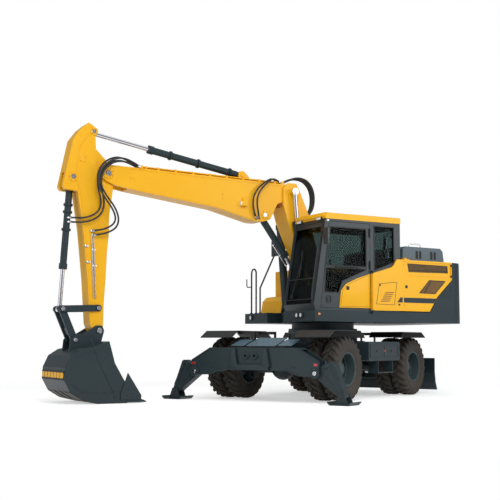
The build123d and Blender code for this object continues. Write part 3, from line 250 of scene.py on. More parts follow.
def finish(name, colour, deep, worn, dirt, rough=0.4, metal=0.0, wear=0.4, dusty=0.5, dust_top=1.3,
           fine=140.0, slow=1.6, bump=0.02, radius=0.006, coat=0.0, shine=0.5):
    """A painted, cast or rubber surface: two tones, a colour for worn edges and one for dirt."""
    made, tree, out = new_material(name)
    shader = node(tree, "BsdfPrincipled")
    tree.links.new(shader.outputs[0], out.inputs["Surface"])
    effects = place_group(tree, edges, Radius=radius, Wear=wear)
    soil = place_group(tree, dust, Top=dust_top, Amount=dusty)
    skin = place_group(tree, grain, Fine=fine, Slow=slow)
    tone = mix_colour(tree, skin.outputs["Tone"], deep, colour)
    edged = mix_colour(tree, effects.outputs["Mask"], tone, worn)
    soiled = mix_colour(tree, soil.outputs["Mask"], edged, dirt)
    tree.links.new(soiled, shader.inputs["Base Color"])
    matt = maths(tree, "MULTIPLY", soil.outputs["Mask"], DUST_MATT)
    uneven = maths(tree, "MULTIPLY", skin.outputs["Tone"], TONE_ROUGH)
    varied = maths(tree, "ADD", uneven, rough - TONE_ROUGH / 2)
    tree.links.new(maths(tree, "ADD", varied, matt, clamp=True), shader.inputs["Roughness"])
    bumped = node(tree, "Bump")
    bumped.inputs["Strength"].default_value = 1.0
    bumped.inputs["Distance"].default_value = bump * 0.01
    tree.links.new(skin.outputs["Height"], bumped.inputs["Height"])
    tree.links.new(effects.outputs["Normal"], bumped.inputs["Normal"])
    tree.links.new(bumped.outputs[0], shader.inputs["Normal"])
    shader.inputs["Metallic"].default_value = metal
    shader.inputs["Specular IOR Level"].default_value = shine
    if coat:
        shader.inputs["Coat Weight"].default_value = coat
        shader.inputs["Coat Roughness"].default_value = COAT_ROUGH
    return made


# %% The machine's finishes
YELLOW = finish("yellow_paint", (0.92, 0.48, 0.01), (0.85, 0.42, 0.008), (0.6, 0.38, 0.08),
                (0.46, 0.32, 0.14), rough=0.36, wear=0.18, dusty=0.14, dust_top=1.6, coat=0.05, shine=0.25)
DARK = finish("blue_grey_paint", (0.018, 0.035, 0.042), (0.012, 0.025, 0.031), (0.1, 0.12, 0.13),
              (0.11, 0.095, 0.075), rough=0.42, wear=0.4, dusty=0.2, shine=0.3)
BLACK = finish("black_paint", (0.016, 0.018, 0.02), (0.01, 0.011, 0.013), (0.06, 0.06, 0.06),
               (0.09, 0.08, 0.065), rough=0.5, wear=0.35, dusty=0.4)
CAST = finish("cast_grey", (0.21, 0.215, 0.22), (0.15, 0.155, 0.16), (0.34, 0.34, 0.34),
              (0.14, 0.12, 0.09), rough=0.6, metal=0.4, fine=90.0, bump=0.08)
CHROME = finish("chrome", (0.62, 0.63, 0.66), (0.55, 0.56, 0.6), (0.7, 0.7, 0.72), (0.45, 0.44, 0.42),
                rough=0.14, metal=1.0, wear=0.2, dusty=0.1, fine=400.0, bump=0.004, radius=0.002)
RUBBER = finish("tyre_rubber", (0.034, 0.031, 0.028), (0.02, 0.018, 0.017), (0.06, 0.054, 0.048),
                (0.105, 0.082, 0.06), rough=0.78, wear=0.6, dusty=1.1, dust_top=1.5, fine=60.0, bump=0.12)
HOSE = finish("hose_rubber", (0.022, 0.023, 0.025), (0.015, 0.016, 0.017), (0.05, 0.05, 0.05),
              (0.06, 0.055, 0.05), rough=0.55, wear=0.2, dusty=0.2, fine=260.0, bump=0.05, radius=0.002)
FABRIC = finish("seat_fabric", (0.055, 0.057, 0.062), (0.035, 0.036, 0.04), (0.1, 0.1, 0.1),
                (0.09, 0.08, 0.07), rough=0.85, wear=0.2, dusty=0.1, fine=420.0, bump=0.15, radius=0.004)
RIM = finish("rim_paint", (0.05, 0.082, 0.09), (0.036, 0.062, 0.069), (0.16, 0.18, 0.19),
             (0.12, 0.105, 0.085), rough=0.42, wear=0.5, dusty=0.25)
HOOD = finish("hood_paint", (0.06, 0.105, 0.135), (0.045, 0.083, 0.108), (0.16, 0.19, 0.21),
              (0.12, 0.11, 0.09), rough=0.38, wear=0.3, dusty=0.15, coat=0.1)
CAB_DARK = finish("cab_frame_dark", (0.014, 0.025, 0.031), (0.01, 0.019, 0.024), (0.05, 0.06, 0.065),
                  (0.08, 0.07, 0.055), rough=0.3, wear=0.3, dusty=0.2, coat=0.1, shine=0.35)
print("finishes", len(bpy.data.materials))

# %% [markdown]
# ## Glass
# The cab's panes are slightly grey-green safety glass. A real pane bends light so little that a
# thin clear shell with a faint tint and a sharp reflection reads better than a block of glass.

# %% Tinted safety glass
GLASS, tree, out = new_material("tinted_glass")
shader = node(tree, "BsdfPrincipled")
tree.links.new(shader.outputs[0], out.inputs["Surface"])
shader.inputs["Transmission Weight"].default_value = 1.0
shader.inputs["IOR"].default_value = 1.12
shade = mix_colour(tree, object_noise(tree, 2.0, 2.0), (0.13, 0.19, 0.18), (0.19, 0.26, 0.25))
tree.links.new(shade, shader.inputs["Base Color"])
smear = maths(tree, "ADD", maths(tree, "MULTIPLY", object_noise(tree, 9.0, 5.0), 0.05), 0.01)
tree.links.new(smear, shader.inputs["Roughness"])

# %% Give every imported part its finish
FINISHES = {"yellow_paint": YELLOW, "blue_grey_paint": DARK, "black_paint": BLACK, "cast_grey": CAST,
            "chrome": CHROME, "tyre_rubber": RUBBER, "seat_fabric": FABRIC, "glass": GLASS}
OWN_FINISH = {"rims_front_left": RIM, "rims_front_right": RIM, "rims_rear_left": RIM, "rims_rear_right": RIM,
              "hood": HOOD, "cab_shell": CAB_DARK, "cab_door": CAB_DARK}
for row in frame["record"]["subparts"]:
    part = NODES[row["node"]]
    chosen = OWN_FINISH.get(row["node"], FINISHES[row["material_slot"]])
    if not part.material_slots:
        part.data.materials.append(chosen)
    for slot_in in part.material_slots:
        slot_in.material = chosen
print("finished", len(NODES), "parts")

# %% [markdown]
# ## Tools for small pieces
# Bolts, plates, rods and clamps come in families. Each family is one mesh, which keeps the
# list of pieces short. The helpers below each add one small shape to it: a cube, a cone, a
# single face or a section that is extruded, bevelled or spun, or a tube along a smooth line.

# %% Helpers that add one shape to a mesh
AXES = {"x": lambda a, b, c: Vector((c, a, b)), "y": lambda a, b, c: Vector((a, c, b)),
        "z": lambda a, b, c: Vector((a, b, c))}


def soften(bm, verts, width, segments=2):
    """Rounds the edges between these vertices."""
    around = list({edge for vert in verts for edge in vert.link_edges})
    bmesh.ops.bevel(bm, geom=around, offset=width, affect="EDGES", segments=segments, profile=0.5,
                    material=-1)


def block(bm, one, other, round_by=0.0):
    """A box between two opposite corners."""
    low, high = Vector(map(min, one, other)), Vector(map(max, one, other))
    verts = bmesh.ops.create_cube(bm, size=1.0)["verts"]
    bmesh.ops.scale(bm, vec=high - low, verts=verts)
    bmesh.ops.translate(bm, vec=(low + high) / 2, verts=verts)
    if round_by:
        soften(bm, verts, round_by)


def rod(bm, start, end, radius, sides=20, far_radius=None, round_by=0.0):
    """A round bar from one point to another; far_radius makes it a cone."""
    start, end = Vector(start), Vector(end)
    turned = (end - start).to_track_quat("Z", "Y").to_matrix().to_4x4()
    verts = bmesh.ops.create_cone(bm, cap_ends=True, segments=sides, radius1=radius,
                                  radius2=radius if far_radius is None else far_radius,
                                  depth=(end - start).length,
                                  matrix=Matrix.Translation((start + end) / 2) @ turned)["verts"]
    if round_by:
        rims = {edge for vert in verts for edge in vert.link_edges
                if any(len(face.verts) > 4 for face in edge.link_faces)}
        bmesh.ops.bevel(bm, geom=list(rims), offset=round_by, affect="EDGES", segments=2, profile=0.5,
                        material=-1)


# %% Helpers for plates, spun sections, rings and bolts
def slab(bm, outline, start, end, axis="y", round_by=0.0):
    """A flat plate whose outline lies across an axis, from start to end along it."""
    put = AXES[axis]
    verts = [bm.verts.new(put(a, b, start)) for a, b in outline]
    made = bmesh.ops.extrude_face_region(bm, geom=[bm.faces.new(verts)])["geom"]
    moved = [item for item in made if isinstance(item, bmesh.types.BMVert)]
    bmesh.ops.translate(bm, vec=put(0, 0, end - start), verts=moved)
    if round_by:
        soften(bm, verts + moved, round_by)
    return verts + moved


def spun(bm, section, centre, axis=(0, 1, 0), steps=48):
    """A closed section as (distance along the axis, radius), spun all the way round."""
    centre, axis = Vector(centre), Vector(axis).normalized()
    out = axis.orthogonal().normalized()
    verts = [bm.verts.new(centre + axis * along + out * radius) for along, radius in section]
    loop = [bm.edges.new((a, b)) for a, b in zip(verts, verts[1:] + verts[:1])]
    bmesh.ops.spin(bm, geom=verts + loop, cent=centre, axis=axis, angle=math.tau, steps=steps,
                   use_merge=True)


def circle(count, wide, tall, shift=0.5):
    """Even steps round a circle or an oval, as offsets across and up."""
    turns = [math.tau * (step + shift) / count for step in range(count)]
    return [(wide * math.sin(turn), tall * math.cos(turn)) for turn in turns]


def ring(bm, centre, axis, radius, thick, steps=40, sides=8):
    """A round ring of round section."""
    spun(bm, [(a, radius + b) for a, b in circle(sides, thick, thick, 0)], centre, axis, steps)


def bolt(bm, place, along, size):
    """A hexagon head of that width on its washer."""
    place, along = Vector(place), Vector(along).normalized()
    rod(bm, place - along * 0.002, place + along * size * 0.14, size * 0.68, 14)
    rod(bm, place, place + along * size * 0.62, size * 0.56, 6, far_radius=size * 0.5)


# %% Smooth lines, for hoses, pipes and rails
def smooth_line(points, resolution):
    """A smooth NURBS line through chosen points, as a curve object."""
    line = bpy.data.curves.new("line", "CURVE")
    line.dimensions = "3D"
    spline = line.splines.new("NURBS")
    spline.points.add(len(points) - 1)
    for place, point in zip(spline.points, points):
        place.co = (*point, 1.0)
    spline.order_u = 3
    spline.use_endpoint_u = True
    spline.resolution_u = resolution
    holder = bpy.data.objects.new("line", line)
    bpy.context.scene.collection.objects.link(holder)
    return holder


def tube_of(holder, radius, caps):
    """The round tube along a smooth line, welded, as a mesh for more work; the line goes."""
    holder.data.bevel_depth = radius
    holder.data.bevel_resolution = 3
    holder.data.use_fill_caps = caps
    tube = bmesh.new()
    tube.from_mesh(bpy.data.meshes.new_from_object(holder))
    bpy.data.objects.remove(holder)
    bmesh.ops.remove_doubles(tube, verts=tube.verts, dist=0.0001)
    return tube


def join(bm, part):
    """Adds one mesh to another and frees it."""
    shape = bpy.data.meshes.new("part")
    part.to_mesh(shape)
    part.free()
    bm.from_mesh(shape)


def bent(bm, points, radius, wall=0.0):
    """A bar along a smooth line through chosen points; with a wall it is an open pipe."""
    part = tube_of(smooth_line(points, 6), radius, not wall)
    if wall:
        bmesh.ops.recalc_face_normals(part, faces=part.faces)
        bmesh.ops.solidify(part, geom=part.faces[:], thickness=wall)
    join(bm, part)


# %% A finished piece on its body
SLOTS = {material: slot_name for slot_name, material in FINISHES.items()}
SLOTS[RIM] = "blue_grey_paint"


def finish_piece(bm, name, body, material, slot_name=None, place=UPPER, sharp=35.0):
    """Turns a mesh into a piece in the machine's frame, riding on a body."""
    bmesh.ops.recalc_face_normals(bm, faces=bm.faces)
    bm.transform(place)
    mesh = bpy.data.meshes.new(name)
    bm.to_mesh(mesh)
    bm.free()
    mesh.shade_smooth()
    mesh.set_sharp_from_angle(angle=math.radians(sharp))
    mesh.materials.append(material)
    piece = bpy.data.objects.new(name, mesh)
    bpy.context.scene.collection.objects.link(piece)
    if body:
        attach(piece, body)
    slot_name = slot_name or SLOTS.get(material)
    print(name, len(mesh.polygons), "faces")
    return piece


# %% [markdown]
# ## Hydraulic hoses
# Thick black hoses carry oil over each pin of the boom. They are stiff: they leave their
# fittings straight, arch over the joint and come down in one long curve. Each is a smooth
# NURBS line through a few chosen points, given a thickness; one that crosses a joint rides on
# neither body and stays where it is drawn. Where several run side by side, they are the same
# route moved over.

# %% The routes, in the superstructure's frame
HOSE_THICK = 0.03
OVER_TIP = ((3.64, -0.045, 3.826), (3.9, 0.06, 3.905), (4.15, 0.11, 3.87), (4.33, 0.135, 3.7),
            (4.345, 0.14, 3.44), (4.27, 0.14, 3.2), (4.3, 0.14, 3.01), (4.43, 0.135, 2.89),
            (4.6, 0.12, 2.835), (4.73, 0.04, 2.84), (4.79, -0.03, 2.848))
OVER_TIP_OUTER = ((3.64, -0.005, 3.826), (3.92, 0.08, 3.955), (4.19, 0.125, 3.915),
                  (4.385, 0.14, 3.72), (4.4, 0.142, 3.44), (4.325, 0.142, 3.2),
                  (4.355, 0.142, 3.04), (4.47, 0.135, 2.95), (4.61, 0.115, 2.905),
                  (4.735, 0.035, 2.912), (4.793, -0.036, 2.916))
DOWN_ARM = ((3.64, 0.034, 3.826), (3.9, 0.12, 3.89), (4.16, 0.175, 3.84), (4.33, 0.185, 3.67),
            (4.36, 0.185, 3.44), (4.24, 0.185, 3.26), (4.11, 0.185, 3.11), (4.035, 0.185, 2.93),
            (4.07, 0.185, 2.78), (4.21, 0.165, 2.69), (4.35, 0.115, 2.655), (4.42, 0.07, 2.647))
DOWN_ARM_OUTER = ((3.64, 0.072, 3.822), (3.89, 0.155, 3.935), (4.18, 0.212, 3.885),
                  (4.385, 0.222, 3.69), (4.415, 0.222, 3.43), (4.3, 0.222, 3.24),
                  (4.175, 0.222, 3.09), (4.105, 0.222, 2.94), (4.13, 0.215, 2.83),
                  (4.25, 0.185, 2.75), (4.38, 0.125, 2.72), (4.44, 0.07, 2.715))
ON_BOOM = ((0.93, 0.005, 3.794), (1.08, 0.04, 3.865), (1.25, 0.13, 3.79), (1.42, 0.13, 3.66),
           (1.52, 0.13, 3.5), (1.53, 0.13, 3.33), (1.5, 0.135, 3.19), (1.448, 0.088, 3.121))
ON_BOOM_OUTER = ((0.93, 0.045, 3.794), (1.07, 0.085, 3.862), (1.225, 0.168, 3.78),
                 (1.37, 0.168, 3.65), (1.462, 0.168, 3.5), (1.47, 0.168, 3.34),
                 (1.44, 0.165, 3.205), (1.385, 0.088, 3.128))
BEHIND_BOOM = ((0.85, 0.0, 3.78), (0.7, 0.0, 3.865), (0.5, 0.0, 3.925), (0.3, 0.0, 3.89),
               (0.17, 0.0, 3.74), (0.14, 0.0, 3.52), (0.195, 0.0, 3.31), (0.326, 0.0, 3.195))
BEHIND_BOOM_Y = (-0.165, -0.122, -0.079, -0.036)

# name, bodies that it joins, route, its move across and up, and two points at the joint that it crosses; a
# hose with them rides on no body
TIP_BEND = ((4.33, 0.0, 3.7), (4.3, 0.0, 2.95))
BACK_BEND = ((0.7, 0.0, 3.88), (0.215, 0.0, 3.27))
HOSES = [("hose_to_bucket", ("upper_boom", "arm"), OVER_TIP, 0.0, 0.0, TIP_BEND),
         ("hose_to_bucket_outer", ("upper_boom", "arm"), OVER_TIP_OUTER, 0.0, 0.0, TIP_BEND),
         ("hose_to_arm", ("upper_boom", "arm"), DOWN_ARM, 0.0, 0.0, TIP_BEND),
         ("hose_to_arm_outer", ("upper_boom", "arm"), DOWN_ARM_OUTER, 0.0, 0.0, TIP_BEND),
         ("hose_on_boom", ("upper_boom",), ON_BOOM, 0.0, 0.0, None),
         ("hose_on_boom_outer", ("upper_boom",), ON_BOOM_OUTER, 0.0, 0.0, None)]
for place, over in enumerate(BEHIND_BOOM_Y):
    HOSES.append((f"hose_behind_boom_{place + 1}", ("upper_boom", "lower_boom"), BEHIND_BOOM, over,
                  0.012 * (place % 2), BACK_BEND))
print("hoses", len(HOSES))

# %% A hose from its route
fitting_meshes = {body: bmesh.new() for body in ("upper_boom", "lower_boom", "arm")}
for name, joined, route, over, lift, bend in HOSES:
    points = [(x, y + over, z + lift) for x, y, z in route]
    holder = smooth_line([UPPER @ Vector(point) for point in points], 8)
    path = [vert.co.copy() for vert in bpy.data.meshes.new_from_object(holder).vertices]
    bm = tube_of(holder, HOSE_THICK / 2, True)
    hose = finish_piece(bm, name, None if bend else joined[0], HOSE, place=Matrix.Identity(4), sharp=60.0)
    if bend:
        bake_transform(hose)
    for end, towards, body in ((points[0], points[1], joined[0]), (points[-1], points[-2], joined[-1])):
        along = (Vector(towards) - Vector(end)).normalized()
        end = Vector(end)
        rod(fitting_meshes[body], end - along * 0.03, end + along * 0.045, 0.0195, 20, round_by=0.003)
        rod(fitting_meshes[body], end - along * 0.012, end + along * 0.016, 0.0255, 6, round_by=0.002)
for body, bm in fitting_meshes.items():
    finish_piece(bm, "hose_fittings_" + body, body, CHROME)

# %% [markdown]
# ## Tyres
# The wheels are twins, with deep slanted lugs that meet in a V. A carcass is one closed section
# spun about the axle. A lug is a bevelled plate that is sheared to its slant and wrapped round
# the carcass; spin with duplicates then sets a row of them, and a mirrored row stands half a
# step further on.

# %% Sizes of the wheels
FRONT_AXLE, REAR_AXLE, AXLE_HEIGHT = 1.373, -1.224, 0.525
TYRE_PLACES = (1.111, 0.791)
LUG_TOP, LUG_FOOT, LUGS = 0.5225, 0.476, 24
LUG_HALF, LUG_SLANT = 0.029, math.tan(math.radians(33.0))
LUG_INNER, LUG_SPREAD, TREAD_EDGE = 0.004, 1.22, 0.5
WHEELS = (("front_left", FRONT_AXLE, 1), ("front_right", FRONT_AXLE, -1),
          ("rear_left", REAR_AXLE, 1), ("rear_right", REAR_AXLE, -1))
HALF_SECTION = ((0.0, 0.489), (0.06, 0.488), (0.104, 0.481), (0.124, 0.462), (0.132, 0.432),
                (0.1365, 0.402), (0.1385, 0.396), (0.1385, 0.384), (0.1355, 0.378), (0.1345, 0.352),
                (0.127, 0.322), (0.123, 0.318), (0.12, 0.308), (0.112, 0.292), (0.11, 0.281),
                (0.102, 0.2757))

# %% One tyre about its own middle
def tyre_mesh():
    bm = bmesh.new()
    mirrored = [(-y, radius) for y, radius in reversed(HALF_SECTION[1:])]
    spun(bm, mirrored + list(HALF_SECTION), (0, 0, 0), steps=72)
    lug = bmesh.new()
    outline = [(LUG_INNER, LUG_FOOT), (LUG_INNER, LUG_TOP), (0.08, LUG_TOP - 0.001),
               (0.112, LUG_TOP - 0.012), (0.131, 0.47), (0.1375, 0.428), (0.116, 0.44)]
    verts = slab(lug, outline, -LUG_HALF, LUG_HALF, axis="x")
    for vert in verts:
        vert.co.x *= 1.0 if vert.co.z > TREAD_EDGE else LUG_SPREAD
        vert.co.x += (vert.co.y - LUG_INNER) * LUG_SLANT
    soften(lug, verts, 0.004, 1)
    for vert in lug.verts:
        turn = vert.co.x / vert.co.z
        vert.co = Vector((vert.co.z * math.sin(turn), vert.co.y, vert.co.z * math.cos(turn)))
    other = lug.copy()
    bmesh.ops.scale(other, vec=(1, -1, 1), verts=other.verts)
    bmesh.ops.rotate(other, cent=(0, 0, 0), matrix=Matrix.Rotation(math.pi / LUGS, 3, "Y"), verts=other.verts)
    for half in (lug, other):
        bmesh.ops.recalc_face_normals(half, faces=half.faces)
        bmesh.ops.spin(half, geom=half.verts[:] + half.edges[:] + half.faces[:], cent=(0, 0, 0),
                       axis=(0, 1, 0), angle=math.tau * (LUGS - 1) / LUGS, steps=LUGS - 1,
                       use_duplicate=True)
        join(bm, half)
    return bm


# %% The twin tyres of each wheel
one_tyre = bpy.data.meshes.new("one_tyre")
bm = tyre_mesh()
bm.to_mesh(one_tyre)
bm.free()
for name, x, side in WHEELS:
    bm = bmesh.new()
    for y in TYRE_PLACES:
        bm.from_mesh(one_tyre)
        fresh = bm.verts[-len(one_tyre.vertices):]
        bmesh.ops.translate(bm, vec=(x, y, AXLE_HEIGHT), verts=fresh)
    bmesh.ops.scale(bm, vec=(1, side, 1), verts=bm.verts)
    tyres = finish_piece(bm, "twin_tyres_" + name, "wheel_" + name, RUBBER, place=CHASSIS, sharp=40.0)
    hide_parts("tyres_" + name)

# %% Rim edges, wheel nuts and hub bolts
RIM_EDGE = 0.268
# how many, on what radius, at what distance outward, and how wide
WHEEL_BOLTS = ((10, 0.195, 0.946, 0.034), (12, 0.128, 1.065, 0.022), (8, 0.07, 1.11, 0.016))
for name, x, side in WHEELS:
    bm = bmesh.new()
    for y in (TYRE_PLACES[0] + 0.106, TYRE_PLACES[0] - 0.104, TYRE_PLACES[1] + 0.104, TYRE_PLACES[1] - 0.104):
        ring(bm, (x, y, AXLE_HEIGHT), (0, 1, 0), RIM_EDGE, 0.0085, 56)
    ring(bm, (x, 1.058, AXLE_HEIGHT), (0, 1, 0), 0.092, 0.006, 32)
    for count, radius, y, size in WHEEL_BOLTS:
        for over, rise in circle(count, radius, radius):
            bolt(bm, (x + over, y, AXLE_HEIGHT + rise), (0, 1, 0), size)
    bmesh.ops.scale(bm, vec=(1, side, 1), verts=bm.verts)
    finish_piece(bm, "wheel_bolts_" + name, "wheel_" + name, RIM, place=CHASSIS)

# %% [markdown]
# ## Colours for small things
# A machine's small parts add a few finishes of their own: orange-brown mesh behind the grilles,
# red reflectors, white lamp lenses, black seals, which also fill the hood slots as painted shade,
# and a pale blue on the sloped plates that is a painted reflection of the sky. They come from the
# same recipe as the large paints, so that dust and edges match.

# %% Finishes for trim, mesh, lenses and reflectors
MESH_BROWN = finish("brown_mesh", (0.42, 0.22, 0.045), (0.25, 0.13, 0.03), (0.5, 0.3, 0.09),
                    (0.16, 0.12, 0.08), rough=0.5, metal=0.3, wear=0.3, dusty=0.4, fine=200.0, radius=0.001)
# Black rubber for seals; the same black also fills the hood slots as painted shade.
SEAL_AND_SHADE_BLACK = finish("black_seal_and_painted_shade", (0.012, 0.013, 0.015), (0.008, 0.009, 0.01), (0.03, 0.03, 0.03),
              (0.05, 0.045, 0.04), rough=0.6, wear=0.1, dusty=0.2, fine=220.0, radius=0.002)
LENS = finish("lamp_lens", (0.85, 0.86, 0.86), (0.72, 0.74, 0.75), (0.9, 0.9, 0.9), (0.6, 0.58, 0.54),
              rough=0.12, wear=0.1, dusty=0.1, fine=90.0, bump=0.06, radius=0.001, coat=0.8)
RED = finish("red_reflector", (0.52, 0.012, 0.01), (0.36, 0.008, 0.008), (0.6, 0.05, 0.04),
             (0.25, 0.1, 0.07), rough=0.15, wear=0.1, dusty=0.2, fine=320.0, bump=0.1, radius=0.001,
             coat=0.8)
AMBER = finish("amber_lens", (0.8, 0.24, 0.01), (0.6, 0.16, 0.008), (0.85, 0.35, 0.05),
               (0.35, 0.2, 0.09), rough=0.15, wear=0.1, dusty=0.1, fine=320.0, bump=0.08, radius=0.001,
               coat=0.8)
# Painted reflection: this pale blue stands in for the sky reflected in the sloped plates behind the beam.
SKY_REFLECTION_PAINT = finish("painted_sky_reflection", (0.105, 0.19, 0.25), (0.08, 0.15, 0.2), (0.22, 0.28, 0.32),
               (0.16, 0.14, 0.11), rough=0.38, wear=0.4, dusty=0.4, coat=0.1)
WORN = finish("worn_steel", (0.085, 0.07, 0.058), (0.05, 0.044, 0.04), (0.3, 0.28, 0.26),
              (0.14, 0.1, 0.07), rough=0.45, metal=0.5, wear=0.9, dusty=0.6, fine=70.0, bump=0.1,
              radius=0.003)
SLOTS.update({SEAL_AND_SHADE_BLACK: "black_paint", SKY_REFLECTION_PAINT: "blue_grey_paint", WORN: "cast_grey"})

# %% [markdown]
# ## Boom and arm
# Hose blocks, steel pipes and their clamps run along the boom's top. Pins end in bright caps,
# and cast bosses with rings of bolts stand round them. All of it is rods, plates and bolts
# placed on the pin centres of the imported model.

# %% Hose blocks, pipes and clamps on the boom
BOOM_LEFT, BOOM_RIGHT, ARM_LEFT, ARM_RIGHT = 0.07, -0.27, 0.045, -0.245
PIPE_START, PIPE_END = (0.905, 3.795), (3.6, 3.832)
bm = bmesh.new()
block(bm, (0.85, -0.188, 3.76), (0.925, 0.064, 3.816), 0.006)
block(bm, (3.585, -0.064, 3.795), (3.64, 0.09, 3.848), 0.006)
for y in (-0.045, -0.015, 0.015, 0.045):
    rod(bm, (PIPE_START[0], y, PIPE_START[1]), (PIPE_END[0], y, PIPE_END[1]), 0.0105, 14)
for share in (0.05, 0.17, 0.29, 0.41, 0.53, 0.65, 0.77, 0.89, 0.97):
    x = PIPE_START[0] + share * (PIPE_END[0] - PIPE_START[0])
    z = PIPE_START[1] + share * (PIPE_END[1] - PIPE_START[1])
    block(bm, (x - 0.017, -0.064, z - 0.03), (x + 0.017, 0.064, z + 0.015), 0.003)
    for y in (-0.03, 0.0, 0.03):
        bolt(bm, (x, y, z + 0.015), (0, 0, 1), 0.012)
finish_piece(bm, "boom_pipes", "upper_boom", YELLOW)

# %% The pins' centres, and round bosses and pin ends
HINGE, BOOM_TIP, ADJUST_TOP, ADJUST_BASE = (0.711, 3.63), (4.185, 3.67), (1.257, 3.189), (0.48, 2.165)
ARM_CYLINDER_BASE, ARM_CYLINDER_ROD = (1.66, 3.875), (4.433, 4.332)
BUCKET_CYLINDER_BASE, ROCKER_PIN, ROCKER_END = (4.766, 3.568), (4.314, 1.488), (4.9, 1.467)
BUCKET_PIN, LINK_PIN = (4.297, 1.13), (4.69, 0.984)


def boss(bm, pin, face, out, radius, height, bolts, bolt_size=0.02):
    """A raised round boss about a pin on the boom's side, with a ring of bolts."""
    x, z = pin
    section = [(-0.004, radius * 1.06), (height * 0.6, radius), (height, radius * 0.94),
               (height, radius * 0.52), (-0.004, radius * 0.52)]
    spun(bm, section, (x, face, z), (0, out, 0), 40)
    for over, rise in circle(bolts, radius * 0.74, radius * 0.74):
        bolt(bm, (x + over, face + out * height, z + rise), (0, out, 0), bolt_size)


def pin_end(bm, pin, face, out, radius, height):
    """The bright end of a pin, with its bevelled edge and a grease hole."""
    x, z = pin
    section = [(-0.006, radius * 0.98), (height - 0.004, radius * 0.98), (height, radius * 0.88),
               (height, radius * 0.18), (height - 0.006, radius * 0.14), (height - 0.006, 0.0008),
               (-0.006, 0.0008)]
    spun(bm, section, (x, face, z), (0, out, 0), 32)


# %% Bosses, seams and bolts on the boom and the arm
bm = bmesh.new()
for face, out in ((BOOM_LEFT, 1), (BOOM_RIGHT, -1)):
    boss(bm, BOOM_TIP, face, out, 0.098, 0.014, 8)
    boss(bm, ADJUST_TOP, face, out, 0.075, 0.012, 6, 0.016)
    boss(bm, HINGE, face, out, 0.1, 0.006, 0)
    for x, z in ((3.74, 3.62), (3.8, 3.62), (2.1, 3.5), (2.1, 3.42)):
        bolt(bm, (x, face, z), (0, out, 0), 0.018)
    for seam in ([(0.76, 3.735), (3.8, 3.778), (3.8, 3.77), (0.76, 3.727)],
                 [(1.5, 3.092), (2.23, 3.27), (3.81, 3.461), (3.81, 3.469), (2.23, 3.279),
                  (1.5, 3.101)]):
        slab(bm, seam, face - out * 0.003, face + out * 0.004)
finish_piece(bm, "boom_bosses", "upper_boom", YELLOW)

ARM_RIDGE = [(4.47, 4.33), (4.64, 4.13), (4.7, 3.9), (4.722, 3.64), (4.69, 3.42), (4.64, 3.31),
             (4.629, 3.316), (4.678, 3.424), (4.71, 3.64), (4.688, 3.897), (4.629, 4.124), (4.461, 4.322)]
ARM_SEAM = [(4.64, 3.31), (4.565, 2.73), (4.48, 1.96), (4.43, 1.33), (4.421, 1.33), (4.471, 1.962),
            (4.555, 2.732), (4.629, 3.312)]
bm = bmesh.new()
for face, out in ((ARM_LEFT, 1), (ARM_RIGHT, -1)):
    boss(bm, ARM_CYLINDER_ROD, face, out, 0.066, 0.012, 4, 0.014)
    boss(bm, BUCKET_CYLINDER_BASE, face, out, 0.082, 0.012, 6, 0.016)
    boss(bm, BUCKET_PIN, face, out, 0.062, 0.005, 0)
    slab(bm, ARM_RIDGE, face - out * 0.003, face + out * 0.005)
    slab(bm, ARM_SEAM, face - out * 0.003, face + out * 0.004)
    block(bm, (4.56, face - out * 0.002, 3.82), (4.665, face + out * 0.007, 3.905), 0.003)
    for x, z in ((4.575, 3.835), (4.65, 3.835), (4.575, 3.89), (4.65, 3.89)):
        bolt(bm, (x, face + out * 0.007, z), (0, out, 0), 0.013)
finish_piece(bm, "arm_bosses", "arm", YELLOW)

# %% Pipe clamps on the arm, and the pins' bright ends
bm = bmesh.new()
for x, z in ((4.534, 2.469), (4.416, 2.411), (4.496, 2.215), (4.394, 2.156), (4.42, 2.647), (4.44, 2.715)):
    block(bm, (x - 0.03, ARM_LEFT - 0.003, z - 0.016), (x + 0.03, ARM_LEFT + 0.03, z + 0.016), 0.004)
    bolt(bm, (x, ARM_LEFT + 0.03, z), (0, 1, 0), 0.014)
for x in (4.4, 4.428):
    rod(bm, (x + 0.02, ARM_LEFT + 0.014, 2.65), (x - 0.035, ARM_LEFT + 0.014, 1.64), 0.0095, 12)
finish_piece(bm, "arm_pipe_clamps", "arm", CHROME)

bm = bmesh.new()
for pin, radius, height in ((BOOM_TIP, 0.048, 0.022), (ADJUST_TOP, 0.038, 0.018)):
    for face, out in ((BOOM_LEFT, 1), (BOOM_RIGHT, -1)):
        pin_end(bm, pin, face, out, radius, height)
finish_piece(bm, "boom_pin_ends", "upper_boom", CHROME)

bm = bmesh.new()
for face, out in ((ARM_LEFT, 1), (ARM_RIGHT, -1)):
    pin_end(bm, ARM_CYLINDER_ROD, face, out, 0.033, 0.016)
    pin_end(bm, BUCKET_CYLINDER_BASE, face, out, 0.04, 0.018)
finish_piece(bm, "arm_pin_ends", "arm", CHROME)

# %% Bands round the barrels
def band(bm, start, end, share, radius, width, lug=0.0):
    """A clamp band on a cylinder between two pins, at a share of the way from the first."""
    start, end = Vector((start[0], BOOM_Y, start[1])), Vector((end[0], BOOM_Y, end[1]))
    middle = start + (end - start) * share
    section = [(-width / 2, radius - 0.004), (-width / 2, radius + 0.008), (width / 2, radius + 0.008),
               (width / 2, radius - 0.004)]
    spun(bm, section, middle, (end - start).normalized(), 32)
    if lug:
        out = Vector((0, 1, 0))
        near = middle + out * radius
        block(bm, near - Vector((0.022, 0.004, 0.022)), near + Vector((0.022, lug, 0.022)), 0.004)
        bolt(bm, near + out * lug, out, 0.016)


